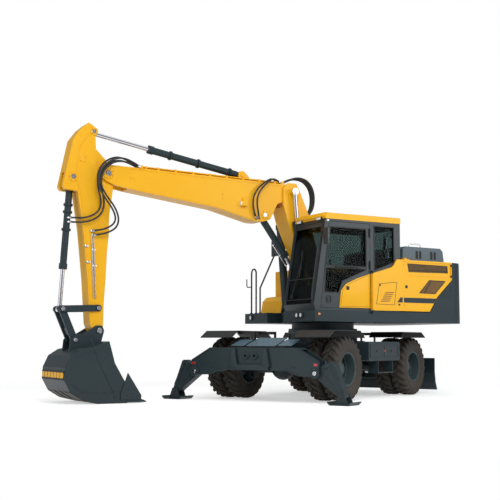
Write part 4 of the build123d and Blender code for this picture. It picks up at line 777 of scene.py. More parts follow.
bm = bmesh.new()
for share in (0.21, 0.265, 0.4):
    band(bm, BUCKET_CYLINDER_BASE, ROCKER_END, share, 0.066, 0.036)
finish_piece(bm, "bucket_barrel_bands", "bucket_barrel", DARK)
bm = bmesh.new()
for share in (0.08, 0.3, 0.49):
    band(bm, ARM_CYLINDER_BASE, ARM_CYLINDER_ROD, share, 0.071, 0.03, 0.02)
finish_piece(bm, "arm_barrel_bands", "arm_barrel", DARK)

# %% Pipe and fittings along the adjusting cylinder
bm = bmesh.new()
base = Vector((ADJUST_BASE[0], BOOM_Y, ADJUST_BASE[1]))
far = Vector((ADJUST_TOP[0], BOOM_Y, ADJUST_TOP[1]))
run = (far - base).normalized()
off = Vector((run.z, 0.0, -run.x))
PIPE_OFF = 0.094
for share in (0.22, 0.38, 0.55):
    middle = base + (far - base) * share
    rod(bm, middle + off * 0.055, middle + off * (PIPE_OFF + 0.012), 0.015, 14)
    ring(bm, middle + off * PIPE_OFF, run, 0.012, 0.006, 20)
rod(bm, base + (far - base) * 0.2 + off * PIPE_OFF, base + (far - base) * 0.57 + off * PIPE_OFF, 0.01, 14)
finish_piece(bm, "adjust_barrel_pipe", "adjust_barrel", CHROME)

# %% Work lamp on the boom
bm = bmesh.new()
block(bm, (1.63, BOOM_LEFT - 0.003, 3.305), (1.76, BOOM_LEFT + 0.062, 3.4), 0.01)
block(bm, (1.67, BOOM_LEFT - 0.003, 3.39), (1.715, BOOM_LEFT + 0.03, 3.46), 0.006)
finish_piece(bm, "boom_lamp_housing", "upper_boom", YELLOW)
bm = bmesh.new()
section = [(-0.004, 0.043), (0.01, 0.043), (0.012, 0.037), (0.006, 0.034), (0.01, 0.02), (0.011, 0.0008),
           (-0.004, 0.0008)]
spun(bm, section, (1.758, BOOM_LEFT + 0.03, 3.352), (1, 0, 0), 32)
finish_piece(bm, "boom_lamp_lens", "upper_boom", LENS)

# %% [markdown]
# ## Bucket
# The wear parts of a digging bucket are bolted or welded on: side cutters with bolts, a curved
# band round the heel, plates under it, and a stiffening ridge along each side.

# %% Ridges, bands and bolts of the bucket
BUCKET_SIDE = 0.55
BAND_OUTER = [(4.458, 0.015), (4.692, 0.075), (4.89, 0.195), (4.985, 0.37), (4.975, 0.56), (4.89, 0.74),
              (4.73, 0.84), (4.5, 0.88)]
BUCKET_RIDGE = [(4.56, 1.0), (4.42, 0.64), (4.182, 0.182), (4.15, 0.06), (4.164, 0.058),
                (4.196, 0.178), (4.434, 0.636), (4.574, 0.994)]
BUCKET_CREASE = [(4.182, 0.185), (4.45, 0.15), (4.7, 0.19), (4.86, 0.3), (4.852, 0.31),
                 (4.694, 0.202), (4.45, 0.163), (4.184, 0.198)]
middle = Vector((4.48, 0.45))
inner, outer = ([tuple(middle + share * (Vector(point) - middle)) for point in BAND_OUTER]
                for share in (0.86, 0.992))
bm = bmesh.new()
for side in (1, -1):
    face = BOOM_Y + side * BUCKET_SIDE
    slab(bm, outer + inner[::-1], face - side * 0.003, face + side * 0.008)
    for outline in (BUCKET_RIDGE, BUCKET_CREASE):
        slab(bm, outline, face - side * 0.003, face + side * 0.007)
    for x, z in ((3.8, 0.095), (3.88, 0.105), (3.96, 0.13), (3.95, 0.22), (3.93, 0.33)):
        bolt(bm, (x, face + side * 0.017, z), (0, side, 0), 0.018)
finish_piece(bm, "bucket_ridges", "bucket", DARK)

# %% Bucket wear plates and the painted band behind
PLATE_THICK = 0.011
STRIPS = (((3.95, 0.015), (4.44, 0.015)), ((4.44, 0.015), (4.692, 0.075)),
          ((4.692, 0.075), (4.885, 0.192)))
bm = bmesh.new()
for low, high in ((-0.53, -0.405), (-0.345, -0.22), (-0.062, 0.062), (0.22, 0.345), (0.405, 0.53)):
    for (x0, z0), (x1, z1) in STRIPS:
        down = Vector((z1 - z0, -(x1 - x0))).normalized() * PLATE_THICK
        slab(bm, [(x0, z0 + 0.002), (x1, z1 + 0.002), (x1 + down.x, z1 + down.y), (x0 + down.x, z0 + down.y)],
             BOOM_Y + low, BOOM_Y + high)
finish_piece(bm, "bucket_wear_plates", "bucket", WORN)

bm = bmesh.new()
for step in range(7):
    low = -0.52 + step * 0.15
    slab(bm, [(4.984, 0.4), (4.981, 0.485), (4.993, 0.485), (4.995, 0.4)], BOOM_Y + low,
         BOOM_Y + low + 0.12)
finish_piece(bm, "bucket_band", "bucket", YELLOW)
bm = bmesh.new()
for (x0, z0), (x1, z1) in (((4.985, 0.372), (4.984, 0.398)), ((4.981, 0.487), (4.979, 0.512))):
    slab(bm, [(x0, z0), (x1, z1), (x1 + 0.012, z1), (x0 + 0.012, z0)], BOOM_Y - 0.525, BOOM_Y + 0.525)
finish_piece(bm, "bucket_band_borders", "bucket", SEAL_AND_SHADE_BLACK)

# %% Bright pin ends of the bucket linkage
LINKAGE_PINS = (("rockers", 0.193, ((ROCKER_PIN, 0.033), (ROCKER_END, 0.033))),
                ("bucket", 0.191, ((BUCKET_PIN, 0.044), (LINK_PIN, 0.033))))
for body, half, pins in LINKAGE_PINS:
    bm = bmesh.new()
    for pin, radius in pins:
        for side in (1, -1):
            pin_end(bm, pin, BOOM_Y + side * half, side, radius, 0.01)
    finish_piece(bm, "linkage_pin_ends_" + body, body, CHROME)

# %% [markdown]
# ## Side doors, grilles and stripes
# The rear doors carry a long upper grille and a slanted lower one, both with brown wire mesh
# over black plates that are painted shade for the space behind, and a dark stripe. The mesh is
# two rows of thin bars, each as long as the opening is at its place, which a helper finds by
# cutting the outline with a line.

# %% Bars inside an outline
def reach(outline, at, along):
    """Where a line across an outline enters and leaves it; along is 0 for level, 1 for upright."""
    hits = []
    for first, second in zip(outline, outline[1:] + outline[:1]):
        a, b = first[1 - along], second[1 - along]
        if min(a, b) <= at < max(a, b):
            hits.append(first[along] + (second[along] - first[along]) * (at - a) / (b - a))
    return (min(hits), max(hits)) if len(hits) > 1 else None


def wire_mesh(bm, outline, start, end, gap, thick):
    """Upright and level bars over an outline, the level ones a little behind."""
    for along, near, far in ((1, start, end), (0, start + (end - start) * 0.1, start + (end - start) * 0.8)):
        across = [point[1 - along] for point in outline]
        at = min(across) + gap
        while at < max(across):
            ends = reach(outline, at, along)
            if ends and ends[1] - ends[0] > thick:
                low, high = at - thick / 2, at + thick / 2
                if along:
                    block(bm, (low, near, ends[0]), (high, far, ends[1]))
                else:
                    block(bm, (ends[0], near, low), (ends[1], far, high))
            at += gap


# %% A flat frame inside an outline
def border(bm, outline, width, start, end, axis="y"):
    """A flat frame inside an outline: a face is inset, its middle taken out, and the rest extruded."""
    put = AXES[axis]
    part = bmesh.new()
    face = part.faces.new([part.verts.new(put(a, b, start)) for a, b in outline])
    part.normal_update()
    bmesh.ops.inset_region(part, faces=[face], thickness=width, use_even_offset=True, use_boundary=True)
    bmesh.ops.delete(part, geom=[face], context="FACES")
    made = bmesh.ops.extrude_face_region(part, geom=part.faces[:])["geom"]
    moved = [item for item in made if isinstance(item, bmesh.types.BMVert)]
    bmesh.ops.translate(part, vec=put(0, 0, end - start), verts=moved)
    join(bm, part)


# %% Grilles on both rear doors
PANEL, FRONT_PANEL = 1.248, 1.284
SIDE_DOORS = ((1, "door_left_rear"), (-1, "door_right"))
UPPER_GRILLE = [(-0.957, 2.34), (-1.868, 2.33), (-1.88, 2.2), (-0.985, 2.19)]
LOWER_GRILLE = [(-1.445, 2.062), (-1.821, 2.057), (-1.572, 1.818), (-1.212, 1.825)]
DIVIDER = [(-1.48, 2.06), (-1.5, 2.06), (-1.335, 1.822), (-1.315, 1.822)]
for side, body in SIDE_DOORS:
    bm = bmesh.new()
    wire_mesh(bm, UPPER_GRILLE, side * (PANEL - 0.011), side * (PANEL - 0.007), 0.02, 0.004)
    wire_mesh(bm, LOWER_GRILLE, side * (PANEL + 0.001), side * (PANEL + 0.004), 0.018, 0.004)
    finish_piece(bm, "grille_mesh_" + body, body, MESH_BROWN)
    bm = bmesh.new()
    # Painted shade: black plates fill both grille openings behind the mesh, standing in for the shaded space
    # inside the door.
    slab(bm, UPPER_GRILLE, side * (PANEL - 0.016), side * (PANEL - 0.0115))
    slab(bm, LOWER_GRILLE, side * (PANEL - 0.002), side * (PANEL + 0.0006))
    border(bm, LOWER_GRILLE, 0.011, side * (PANEL - 0.002), side * (PANEL + 0.009))
    border(bm, UPPER_GRILLE, 0.009, side * (PANEL - 0.016), side * (PANEL + 0.004))
    slab(bm, DIVIDER, side * (PANEL - 0.002), side * (PANEL + 0.008))
    for z, rear, front in ((2.228, -1.878, -0.982), (2.262, -1.874, -0.976), (2.296, -1.871, -0.968)):
        block(bm, (rear, side * (PANEL - 0.013), z - 0.004), (front, side * (PANEL + 0.001), z + 0.004))
    finish_piece(bm, "grille_frames_and_painted_shade_" + body, body, BLACK)

# %% Stripes, creases and latches of the side doors
STRIPE = [(-0.828, 1.65), (-1.544, 1.65), (-1.602, 1.738), (-0.828, 1.738)]
CREASES = ([(-0.93, 2.128), (-1.905, 2.122), (-1.905, 2.13), (-0.93, 2.136)],
           [(-0.93, 2.364), (-1.905, 2.36), (-1.905, 2.367), (-0.93, 2.371)])
for side, body in SIDE_DOORS:
    inner = side * (PANEL - 0.002)
    bm = bmesh.new()
    slab(bm, STRIPE, inner, side * (PANEL + 0.002))
    finish_piece(bm, "stripe_" + body, body, DARK)
    bm = bmesh.new()
    for outline in CREASES:
        slab(bm, outline, inner, side * (PANEL + 0.004))
    finish_piece(bm, "crease_" + body, body, YELLOW)
    bm = bmesh.new()
    block(bm, (-0.955, inner, 1.905), (-0.905, side * (PANEL + 0.008), 1.955), 0.004)
    rod(bm, (-0.93, side * PANEL, 1.93), (-0.93, side * (PANEL + 0.013), 1.93), 0.014, 20, round_by=0.002)
    for z in (1.62, 2.3):
        block(bm, (-0.868, inner, z - 0.022), (-0.842, side * (PANEL + 0.008), z + 0.022), 0.003)
    finish_piece(bm, "latches_" + body, body, BLACK)

# %% Stripe, flap and louvres of the left front door
inner = FRONT_PANEL - 0.002
bm = bmesh.new()
slab(bm, [(-0.816, 1.65), (-0.7, 1.65), (-0.765, 1.738), (-0.816, 1.738)], inner, FRONT_PANEL + 0.002)
finish_piece(bm, "stripe_door_left_front", "door_left_front", DARK)

FLAP = [(-0.311, 1.965), (-0.695, 2.003), (-0.636, 1.602), (-0.245, 1.61)]
bm = bmesh.new()
border(bm, FLAP, 0.006, inner, FRONT_PANEL + 0.0035)
block(bm, (-0.345, inner, 1.925), (-0.318, FRONT_PANEL + 0.009, 1.95), 0.003)
block(bm, (-0.758, inner, 1.595), (-0.722, FRONT_PANEL + 0.009, 1.625), 0.003)
block(bm, (-0.171, inner, 1.656), (-0.159, FRONT_PANEL + 0.005, 1.853), 0.002)
finish_piece(bm, "flap_edges", "door_left_front", BLACK)
bm = bmesh.new()
for step in range(5):
    z = 1.65 + 0.037 * step
    x = -0.345 - 0.022 * step
    slab(bm, [(x, z), (x - 0.185, z + 0.012), (x - 0.191, z + 0.03), (x - 0.006, z + 0.018)], inner,
         FRONT_PANEL + 0.006, round_by=0.002)
finish_piece(bm, "flap_louvres", "door_left_front", MESH_BROWN)

# %% [markdown]
# ## Hood, exhaust and rear
# The engine hood is a blue-grey dome with pairs of slots, a bright grab rail and the exhaust in front
# of it. The stack bends backwards at its top; it is a tube along a smooth line, thickened to a
# wall so that it is open at its end.

# %% Exhaust stack in place of the plain one
STACK_X, STACK_Y, STACK_FOOT, STACK_RADIUS = -0.96, 0.62, 2.4033, 0.046
SILENCER = [(0.0, 0.108), (0.012, 0.108), (0.02, 0.1), (0.165, 0.1), (0.2, 0.082), (0.216, 0.06),
            (0.232, 0.056), (0.232, 0.0008), (0.0, 0.0008)]
STACK_LINE = ((0.0, 2.6), (0.0, 2.73), (0.0, 2.83), (0.05, 2.905), (0.14, 2.915), (0.22, 2.86),
              (0.245, 2.79))
bm = bmesh.new()
spun(bm, SILENCER, (STACK_X, STACK_Y, STACK_FOOT), (0, 0, 1), 40)
bent(bm, [(STACK_X - back, STACK_Y, z) for back, z in STACK_LINE], STACK_RADIUS, 0.004)
ring(bm, (STACK_X, STACK_Y, 2.65), (0, 0, 1), 0.05, 0.006, 32)
stack = finish_piece(bm, "exhaust_stack", "upper", CHROME)
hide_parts("exhaust")

# %% Bracket that holds the stack, on the body beside the hood
bm = bmesh.new()
slab(bm, [(-1.18, 2.4033), (-1.02, 2.4033), (-1.05, 2.44), (-1.15, 2.44)], 0.9, 1.06, round_by=0.004)
block(bm, (-1.13, 0.94, 2.436), (-1.07, 1.02, 2.462), 0.004)
finish_piece(bm, "stack_bracket", "upper", YELLOW)

# %% Hood slots and the strips across its top, filled with painted shade, and grab rail
HOOD_HALF = 0.92
SLOTS_X = (-1.44, -1.52, -1.78, -1.86)
bm = bmesh.new()
for side in (1, -1):
    inner = side * (HOOD_HALF - 0.004)
    for x in SLOTS_X:
        border(bm, [(x - 0.024, 2.47), (x + 0.024, 2.47), (x + 0.024, 2.61), (x - 0.024, 2.61)], 0.006,
               inner, side * (HOOD_HALF + 0.005))
        # Painted shade: a black fill just inside each slot stands in for the shade in the opening; the strips
        # across the top, at the same places, are painted shade too.
        slab(bm, [(x - 0.02, 2.474), (x + 0.02, 2.474), (x + 0.02, 2.606), (x - 0.02, 2.606)], inner,
             side * (HOOD_HALF + 0.0015))
for x in SLOTS_X:
    block(bm, (x - 0.022, -0.64, 2.68), (x + 0.022, 0.64, 2.689), 0.002)
finish_piece(bm, "hood_slots", "hood", SEAL_AND_SHADE_BLACK)
RAIL_LINE = ((-1.4, 2.67), (-1.4, 2.715), (-1.4, 2.752), (-1.44, 2.755), (-1.62, 2.755), (-1.66, 2.752),
             (-1.66, 2.715), (-1.66, 2.67))
bm = bmesh.new()
bent(bm, [(x, 0.76, z) for x, z in RAIL_LINE], 0.011)
for x in (-1.4, -1.66):
    rod(bm, (x, 0.76, 2.672), (x, 0.76, 2.694), 0.02, 20, round_by=0.003)
finish_piece(bm, "hood_grab_rail", "hood", CHROME)

# %% Counterweight ribs, seam and rear lamps
REAR = -2.318
bm = bmesh.new()
for side in (1, -1):
    for step in range(6):
        z, front = 1.756 + 0.04 * step, -1.69 - 0.043 * step
        block(bm, (-1.99, side * (PANEL - 0.004), z), (front, side * (PANEL + 0.006), z + 0.017), 0.003)
for z, lean in ((1.62, 0.0), (2.18, 0.0176)):
    block(bm, (REAR + lean, -0.86, z), (REAR + 0.022 + lean, 0.86, z + 0.012))
finish_piece(bm, "counterweight_ribs", "upper", DARK)
bm = bmesh.new()
for y in (-0.78, 0.78):
    block(bm, (-2.313, y - 0.07, 1.68), (-2.29, y + 0.07, 1.76), 0.005)
finish_piece(bm, "rear_lamps", "upper", RED)

# %% [markdown]
# ## Cab
# The cab's frame is nearly black, with rubber seals round each pane, a yellow plate on the lower
# part of the door, mirrors on stays, a wiper and lamps. The seals are inset frames that lie just
# outside the glass; the mirror's stay and the rail by the pillar are smooth bent bars.

# %% Door plate and seals
CAB_FACE = 1.25
DOOR_UPPER = [(-0.06, 2.24), (0.76, 2.24), (0.668, 2.89), (-0.06, 2.89)]
DOOR_LOWER = [(-0.06, 2.205), (-0.06, 2.18), (0.42, 1.99), (0.5, 1.79), (0.79, 1.79), (0.765, 2.205)]
DOOR_PLATE = [(-0.14, 1.536), (0.505, 1.536), (0.47, 1.818), (0.371, 1.935), (0.132, 2.04), (-0.14, 2.126)]
REAR_WINDOW = [(-0.235, 2.19), (-0.235, 2.95), (-0.66, 2.95), (-0.66, 2.35)]


def grown(outline, by):
    """The outline, each point moved out from the middle of all of them."""
    middle = sum((Vector(point) for point in outline), Vector((0, 0))) / len(outline)
    return [tuple(Vector(point) + (Vector(point) - middle).normalized() * by) for point in outline]


bm = bmesh.new()
slab(bm, DOOR_PLATE, CAB_FACE - 0.001, CAB_FACE + 0.011, round_by=0.003)
finish_piece(bm, "door_plate", "cab_door", YELLOW)
bm = bmesh.new()
border(bm, grown(DOOR_UPPER, 0.02), 0.022, CAB_FACE - 0.002, CAB_FACE + 0.004)
border(bm, grown(DOOR_LOWER, 0.016), 0.018, CAB_FACE - 0.002, CAB_FACE + 0.004)
border(bm, grown(DOOR_PLATE, -0.03), 0.004, CAB_FACE + 0.009, CAB_FACE + 0.0125)
block(bm, (0.3, CAB_FACE + 0.009, 1.838), (0.362, CAB_FACE + 0.015, 1.9), 0.003)
finish_piece(bm, "door_seals", "cab_door", SEAL_AND_SHADE_BLACK)
bm = bmesh.new()
border(bm, grown(REAR_WINDOW, 0.018), 0.02, CAB_FACE - 0.002, CAB_FACE + 0.004)
finish_piece(bm, "cab_window_seal", "upper", SEAL_AND_SHADE_BLACK)

# %% Door handle, bolts and grab bar
HANDLE_X, HANDLE_Z, BAR_Z = 0.716, 1.673, 2.223
BAR_LINE = ((0.1, -0.002), (0.1, 0.022), (0.12, 0.03), (0.56, 0.03), (0.58, 0.022), (0.58, -0.002))
bm = bmesh.new()
oval = [(HANDLE_X + over, HANDLE_Z + rise) for over, rise in circle(18, 0.052, 0.07, 0)]
border(bm, oval, 0.013, CAB_FACE - 0.002, CAB_FACE + 0.012)
block(bm, (0.69, CAB_FACE + 0.004, 1.655), (0.742, CAB_FACE + 0.016, 1.685), 0.005)
bent(bm, [(x, CAB_FACE + out, BAR_Z) for x, out in BAR_LINE], 0.008)
for x, z in ((0.82, 1.56), (0.82, 1.7), (0.73, 2.15)):
    bolt(bm, (x, CAB_FACE, z), (0, 1, 0), 0.014)
finish_piece(bm, "door_handle", "cab_door", BLACK)

# %% Left mirror with its stay, and the rail by the front pillar
PILLAR_LINE = ((0.975, 1.64), (1.03, 1.642), (1.045, 1.7), (1.01, 1.95), (0.92, 2.5), (0.89, 2.67),
               (0.86, 2.7), (0.805, 2.7))
STAY_LINE = ((0.78, -0.03, 2.8), (0.835, -0.01, 2.82), (0.85, 0.04, 2.82), (0.835, 0.09, 2.8))
bm = bmesh.new()
bent(bm, [(x, CAB_FACE - 0.02, z) for x, z in PILLAR_LINE], 0.011)
bent(bm, [(x, CAB_FACE + out, z) for x, out, z in STAY_LINE], 0.009)
block(bm, (0.812, CAB_FACE + 0.04, 2.58), (0.848, CAB_FACE + 0.17, 2.86), 0.014)
finish_piece(bm, "left_mirror", "upper", BLACK)
bm = bmesh.new()
block(bm, (0.8085, CAB_FACE + 0.05, 2.592), (0.8135, CAB_FACE + 0.16, 2.848), 0.002)
block(bm, (0.5305, -0.85, 2.572), (0.5345, -0.65, 2.828), 0.0015)
finish_piece(bm, "mirror_faces", "upper", CHROME)

# %% Right mirror shell and rail hook
RAIL_X = 0.879
HOOK_LINE = ((-1.063, 1.985), (-1.15, 1.985), (-1.235, 1.985), (-1.245, 2.03), (-1.246, 2.14))
bm = bmesh.new()
block(bm, (0.536, -0.866, 2.552), (0.572, -0.634, 2.848), 0.012)
bent(bm, [(RAIL_X, y, z) for y, z in HOOK_LINE], 0.01)
for y in (-1.063, -0.891, -0.745):
    rod(bm, (RAIL_X, y, 1.487), (RAIL_X, y, 1.5), 0.03, 20, round_by=0.003)
finish_piece(bm, "right_mirror_shell", "upper", BLACK)

# %% Windscreen seals and wiper
FRONT_LOW, FRONT_HIGH = Vector((1.01, 0.0, 1.59)), Vector((0.77, 0.0, 3.028))
FRONT_RUN = (FRONT_HIGH - FRONT_LOW).normalized()
FRONT_OUT = Vector((FRONT_RUN.z, 0.0, -FRONT_RUN.x))


def on_front(y, share, out=0.004):
    """A point on the windscreen's plane, at a share of its height."""
    place = FRONT_LOW + (FRONT_HIGH - FRONT_LOW) * share + FRONT_OUT * out
    return Vector((place.x, y, place.z))


bm = bmesh.new()
for share in (0.055, 0.3, 0.965):
    rod(bm, on_front(0.345, share), on_front(1.205, share), 0.009, 8)
for y in (0.345, 1.205):
    rod(bm, on_front(y, 0.055), on_front(y, 0.965), 0.009, 8)
rod(bm, on_front(0.56, 0.08, 0.012), on_front(0.56, 0.11, 0.03), 0.018, 14)
rod(bm, on_front(0.56, 0.095, 0.024), on_front(0.7, 0.48, 0.02), 0.0055, 10)
rod(bm, on_front(0.7, 0.33, 0.014), on_front(0.7, 0.64, 0.014), 0.0065, 8)
finish_piece(bm, "windscreen_seals", "upper", SEAL_AND_SHADE_BLACK)

# %% Roof: front lip, hatch, lamps and aerials
ROOF_LAMPS_Y = (0.47, 1.08)
bm = bmesh.new()
block(bm, (0.7, 0.33, 3.06), (0.79, 1.222, 3.128), 0.012)
block(bm, (-0.54, 0.42, 3.122), (0.26, 1.13, 3.15), 0.012)
border(bm, [(-0.78, 0.33), (0.76, 0.33), (0.76, 1.22), (-0.78, 1.22)], 0.03, 3.126, 3.136, axis="z")
finish_piece(bm, "roof_panels", "upper", YELLOW)
bm, lenses = bmesh.new(), bmesh.new()
for y in ROOF_LAMPS_Y:
    block(bm, (0.748, y - 0.075, 3.01), (0.8, y + 0.075, 3.062), 0.008)
    block(lenses, (0.797, y - 0.064, 3.017), (0.803, y + 0.064, 3.055), 0.002)
for x in (-0.3, -0.52, -0.74):
    rod(bm, (x, 0.8, 3.12), (x, 0.8, 3.19), 0.011, 14, round_by=0.002)
block(lenses, (0.7, 1.243, 2.985), (0.745, 1.257, 3.015), 0.003)
finish_piece(bm, "roof_lamp_shells", "upper", BLACK)
finish_piece(lenses, "roof_lamp_lenses", "upper", LENS)

# %% Deck lamps and marker
DECK_LAMPS = ((0.984, 0.7, 1.412), (0.984, 0.83, 1.412), (0.914, -1.01, 1.412))
LAMP_RIM = [(0.012, 0.046), (0.028, 0.044), (0.028, 0.038), (0.012, 0.036)]
LAMP_GLASS = [(0.01, 0.038), (0.022, 0.038), (0.027, 0.024), (0.029, 0.0008), (0.01, 0.0008)]
bm, lenses = bmesh.new(), bmesh.new()
for x, y, z in DECK_LAMPS:
    block(bm, (x - 0.004, y - 0.056, z - 0.05), (x + 0.02, y + 0.056, z + 0.05), 0.008)
    spun(bm, LAMP_RIM, (x, y, z), (1, 0, 0), 32)
    spun(lenses, LAMP_GLASS, (x, y, z), (1, 0, 0), 32)
block(bm, (0.88, 1.244, 1.397), (0.94, 1.256, 1.447), 0.004)
finish_piece(bm, "deck_lamp_shells", "upper", BLACK)
finish_piece(lenses, "deck_lamp_lenses", "upper", LENS)
bm = bmesh.new()
block(bm, (0.886, 1.252, 1.403), (0.934, 1.259, 1.441), 0.003)
finish_piece(bm, "deck_marker", "upper", AMBER)

# %% [markdown]
# ## Chassis, stabilisers and boxes
# The front beam has gusset ribs, hydraulic couplings, reflectors and big pivot bosses with
# bolts. The legs are boxed in by straps along their edges, with bolts between them.

# %% Ribs, couplings, bosses and bolts on the front beam
BEAM_FRONT, BEAM_TOP = 2.33, 0.868
BEAM_BACK = BEAM_FRONT - 0.004
PIVOT_Y, PIVOT_Z = 1.15, 0.475
COUPLING = [(-0.004, 0.056), (0.014, 0.056), (0.018, 0.048), (0.036, 0.046), (0.04, 0.04), (0.04, 0.026),
            (0.012, 0.022), (-0.004, 0.022)]
PIVOT_BOSS = [(-0.004, 0.08), (0.01, 0.08), (0.014, 0.074), (0.014, 0.044), (-0.004, 0.044)]
PIVOT_END = [(-0.004, 0.034), (0.024, 0.034), (0.028, 0.03), (0.028, 0.006), (0.02, 0.0008), (-0.004, 0.0008)]
BEAM_STRIPS = ([(0.83, BEAM_TOP - 0.006), (1.205, 0.663), (1.205, 0.648), (0.826, BEAM_TOP - 0.022)],
               [(0.62, 0.51), (0.845, 0.431), (0.845, 0.445), (0.624, 0.524)])
bm = bmesh.new()
for y in (-0.345, 0.265):
    rib = [(y - 0.085, 0.56), (y + 0.085, 0.56), (y + 0.026, BEAM_TOP - 0.01),
           (y - 0.026, BEAM_TOP - 0.01)]
    slab(bm, rib, BEAM_BACK, BEAM_FRONT + 0.05, axis="x", round_by=0.005)
shelf = [(-0.42, 0.51), (0.33, 0.51), (0.315, 0.596), (-0.405, 0.596)]
slab(bm, shelf, BEAM_BACK, BEAM_FRONT + 0.046, axis="x", round_by=0.005)
for y in (-0.11, 0.06):
    spun(bm, COUPLING, (BEAM_FRONT, y, 0.735), (1, 0, 0), 32)
for side in (1, -1):
    y = side * PIVOT_Y
    spun(bm, PIVOT_BOSS, (BEAM_FRONT, y, PIVOT_Z), (1, 0, 0), 36)
    for over, rise in circle(6, 0.061, 0.061):
        bolt(bm, (BEAM_FRONT + 0.014, y + over, PIVOT_Z + rise), (1, 0, 0), 0.014)
    for strip in BEAM_STRIPS:
        slab(bm, [(side * y, z) for y, z in strip], BEAM_BACK, BEAM_FRONT + 0.012, axis="x")
    for y in (0.745, 0.8):
        bolt(bm, (BEAM_FRONT, side * y, 0.56), (1, 0, 0), 0.022)
finish_piece(bm, "beam_ribs", "chassis", DARK, place=CHASSIS)

# %% Ends of the legs' pins, and reflectors
bm, marks = bmesh.new(), bmesh.new()
for side in (1, -1):
    spun(bm, PIVOT_END, (BEAM_FRONT, side * PIVOT_Y, PIVOT_Z), (1, 0, 0), 28)
    y = side * 1.165
    block(marks, (BEAM_FRONT - 0.002, y - 0.036, 0.586), (BEAM_FRONT + 0.008, y + 0.036, 0.626), 0.003)
    y = side * 1.2245
    block(marks, (-0.03, y - 0.004, 0.8), (0.03, y + 0.004, 0.83), 0.002)
finish_piece(bm, "leg_pin_ends", "chassis", CHROME, place=CHASSIS)
finish_piece(marks, "reflectors", "chassis", RED, place=CHASSIS)

# %% Sloped plates behind the beam, side box frames and latches
bm = bmesh.new()
# The sloped plates carry the pale blue painted sky reflection.
SIDE_PLATE = [(2.085, 0.905), (1.8, 1.0), (1.8, 0.988), (2.085, 0.893)]
slab(bm, SIDE_PLATE, 0.33, 0.58)
slab(bm, SIDE_PLATE, -0.58, -0.33)
slab(bm, [(2.085, 0.9), (1.7, 1.03), (1.7, 1.018), (2.085, 0.888)], -0.28, 0.28)
finish_piece(bm, "sloped_plates", "chassis", SKY_REFLECTION_PAINT, place=CHASSIS)
bm, trim = bmesh.new(), bmesh.new()
BOX_FACE = [(-0.56, 0.69), (0.56, 0.69), (0.56, 0.925), (-0.56, 0.925)]
for side in (1, -1):
    border(bm, BOX_FACE, 0.016, side * 1.222, side * 1.232)
    block(bm, (-0.01, side * 1.222, 0.7), (0.01, side * 1.23, 0.915), 0.002)
    for x in (-0.29, 0.29):
        block(trim, (x - 0.03, side * 1.223, 0.79), (x + 0.03, side * 1.236, 0.822), 0.004)
    for x in (-0.24, -0.12, 0.0, 0.12, 0.24):
        block(trim, (x - 0.035, side * 1.075, 0.449), (x + 0.035, side * 1.225, 0.456), 0.002)
finish_piece(bm, "side_box_frames", "chassis", DARK, place=CHASSIS)
finish_piece(trim, "side_box_trim", "chassis", BLACK, place=CHASSIS)

# %% Straps and bolts of the legs
LEG_FRONT, LEG_BACK = 2.28, 2.14
LEG_STRAPS = (((1.27, 0.56), (1.395, 0.622), 0.05), ((1.425, 0.58), (1.59, 0.235), 0.05),
              ((1.3, 0.43), (1.52, 0.19), 0.03))


def strap(bm, first, second, width, start, end, side):
    """A strip between two points of the leg's plane, square to its run."""
    a, b = Vector(first), Vector(second)
    across = Vector((a.y - b.y, b.x - a.x)).normalized() * width / 2
    corners = [a + across, b + across, b - across, a - across]
    slab(bm, [(side * point.x, point.y) for point in corners], start, end, axis="x", round_by=0.003)


for name, side in (("left", 1), ("right", -1)):
    bm, bolts = bmesh.new(), bmesh.new()
    for start, end in ((LEG_FRONT - 0.003, LEG_FRONT + 0.008), (LEG_BACK - 0.008, LEG_BACK + 0.003)):
        for first, second, width in LEG_STRAPS:
            strap(bm, first, second, width, start, end, side)
    finish_piece(bm, "leg_straps_" + name, "leg_" + name, DARK, place=CHASSIS)
    for x, way in ((LEG_FRONT, 1), (LEG_BACK, -1)):
        for y, z in ((1.33, 0.545), (1.4, 0.6), (1.46, 0.48), (1.51, 0.38)):
            bolt(bolts, (x, side * y, z), (way, 0, 0), 0.024)
    finish_piece(bolts, "leg_bolts_" + name, "leg_" + name, DARK, place=CHASSIS)

# %% [markdown]
# ## Seat
# A real operator's seat is foam under cloth: a crowned cushion and a tall back, with rolled
# bolsters at the sides and a seam between. Each pad starts as a rounded box a little smaller
# than its place, is remeshed to an even skin and blown up with a short cloth simulation, and
# how far any point may move is capped so that it stays in its space.

# %% A pad that swells under its cover
PRESSURE, STIFFNESS, QUALITY, FRAMES, SKIN = 4.0, 12.0, 4, 16, 0.012


def swell(pad, cap):
    """Remeshes a pad and blows it up with a short cloth simulation, no point further than the cap."""
    bpy.context.view_layer.objects.active = pad
    remesh = pad.modifiers.new("skin", "REMESH")
    remesh.mode = "VOXEL"
    remesh.voxel_size = SKIN
    bpy.ops.object.modifier_apply(modifier=remesh.name)
    rest = [vert.co.copy() for vert in pad.data.vertices]
    cloth = pad.modifiers.new("cloth", "CLOTH")
    cloth.settings.quality = QUALITY
    cloth.settings.use_pressure = True
    cloth.settings.uniform_pressure_force = PRESSURE
    cloth.settings.effector_weights.gravity = 0.0
    cloth.settings.tension_stiffness = STIFFNESS
    cloth.point_cache.frame_start, cloth.point_cache.frame_end = 1, FRAMES
    for frame_number in range(1, FRAMES + 1):
        bpy.context.scene.frame_set(frame_number)
    shaped = pad.evaluated_get(bpy.context.evaluated_depsgraph_get())
    moved = [vert.co.copy() for vert in shaped.data.vertices]
    pad.modifiers.clear()
    bpy.context.scene.frame_set(1)
    for vert, start, end in zip(pad.data.vertices, rest, moved):
        step = end - start
        if step.length > cap:
            step = step.normalized() * cap
        vert.co = start + step


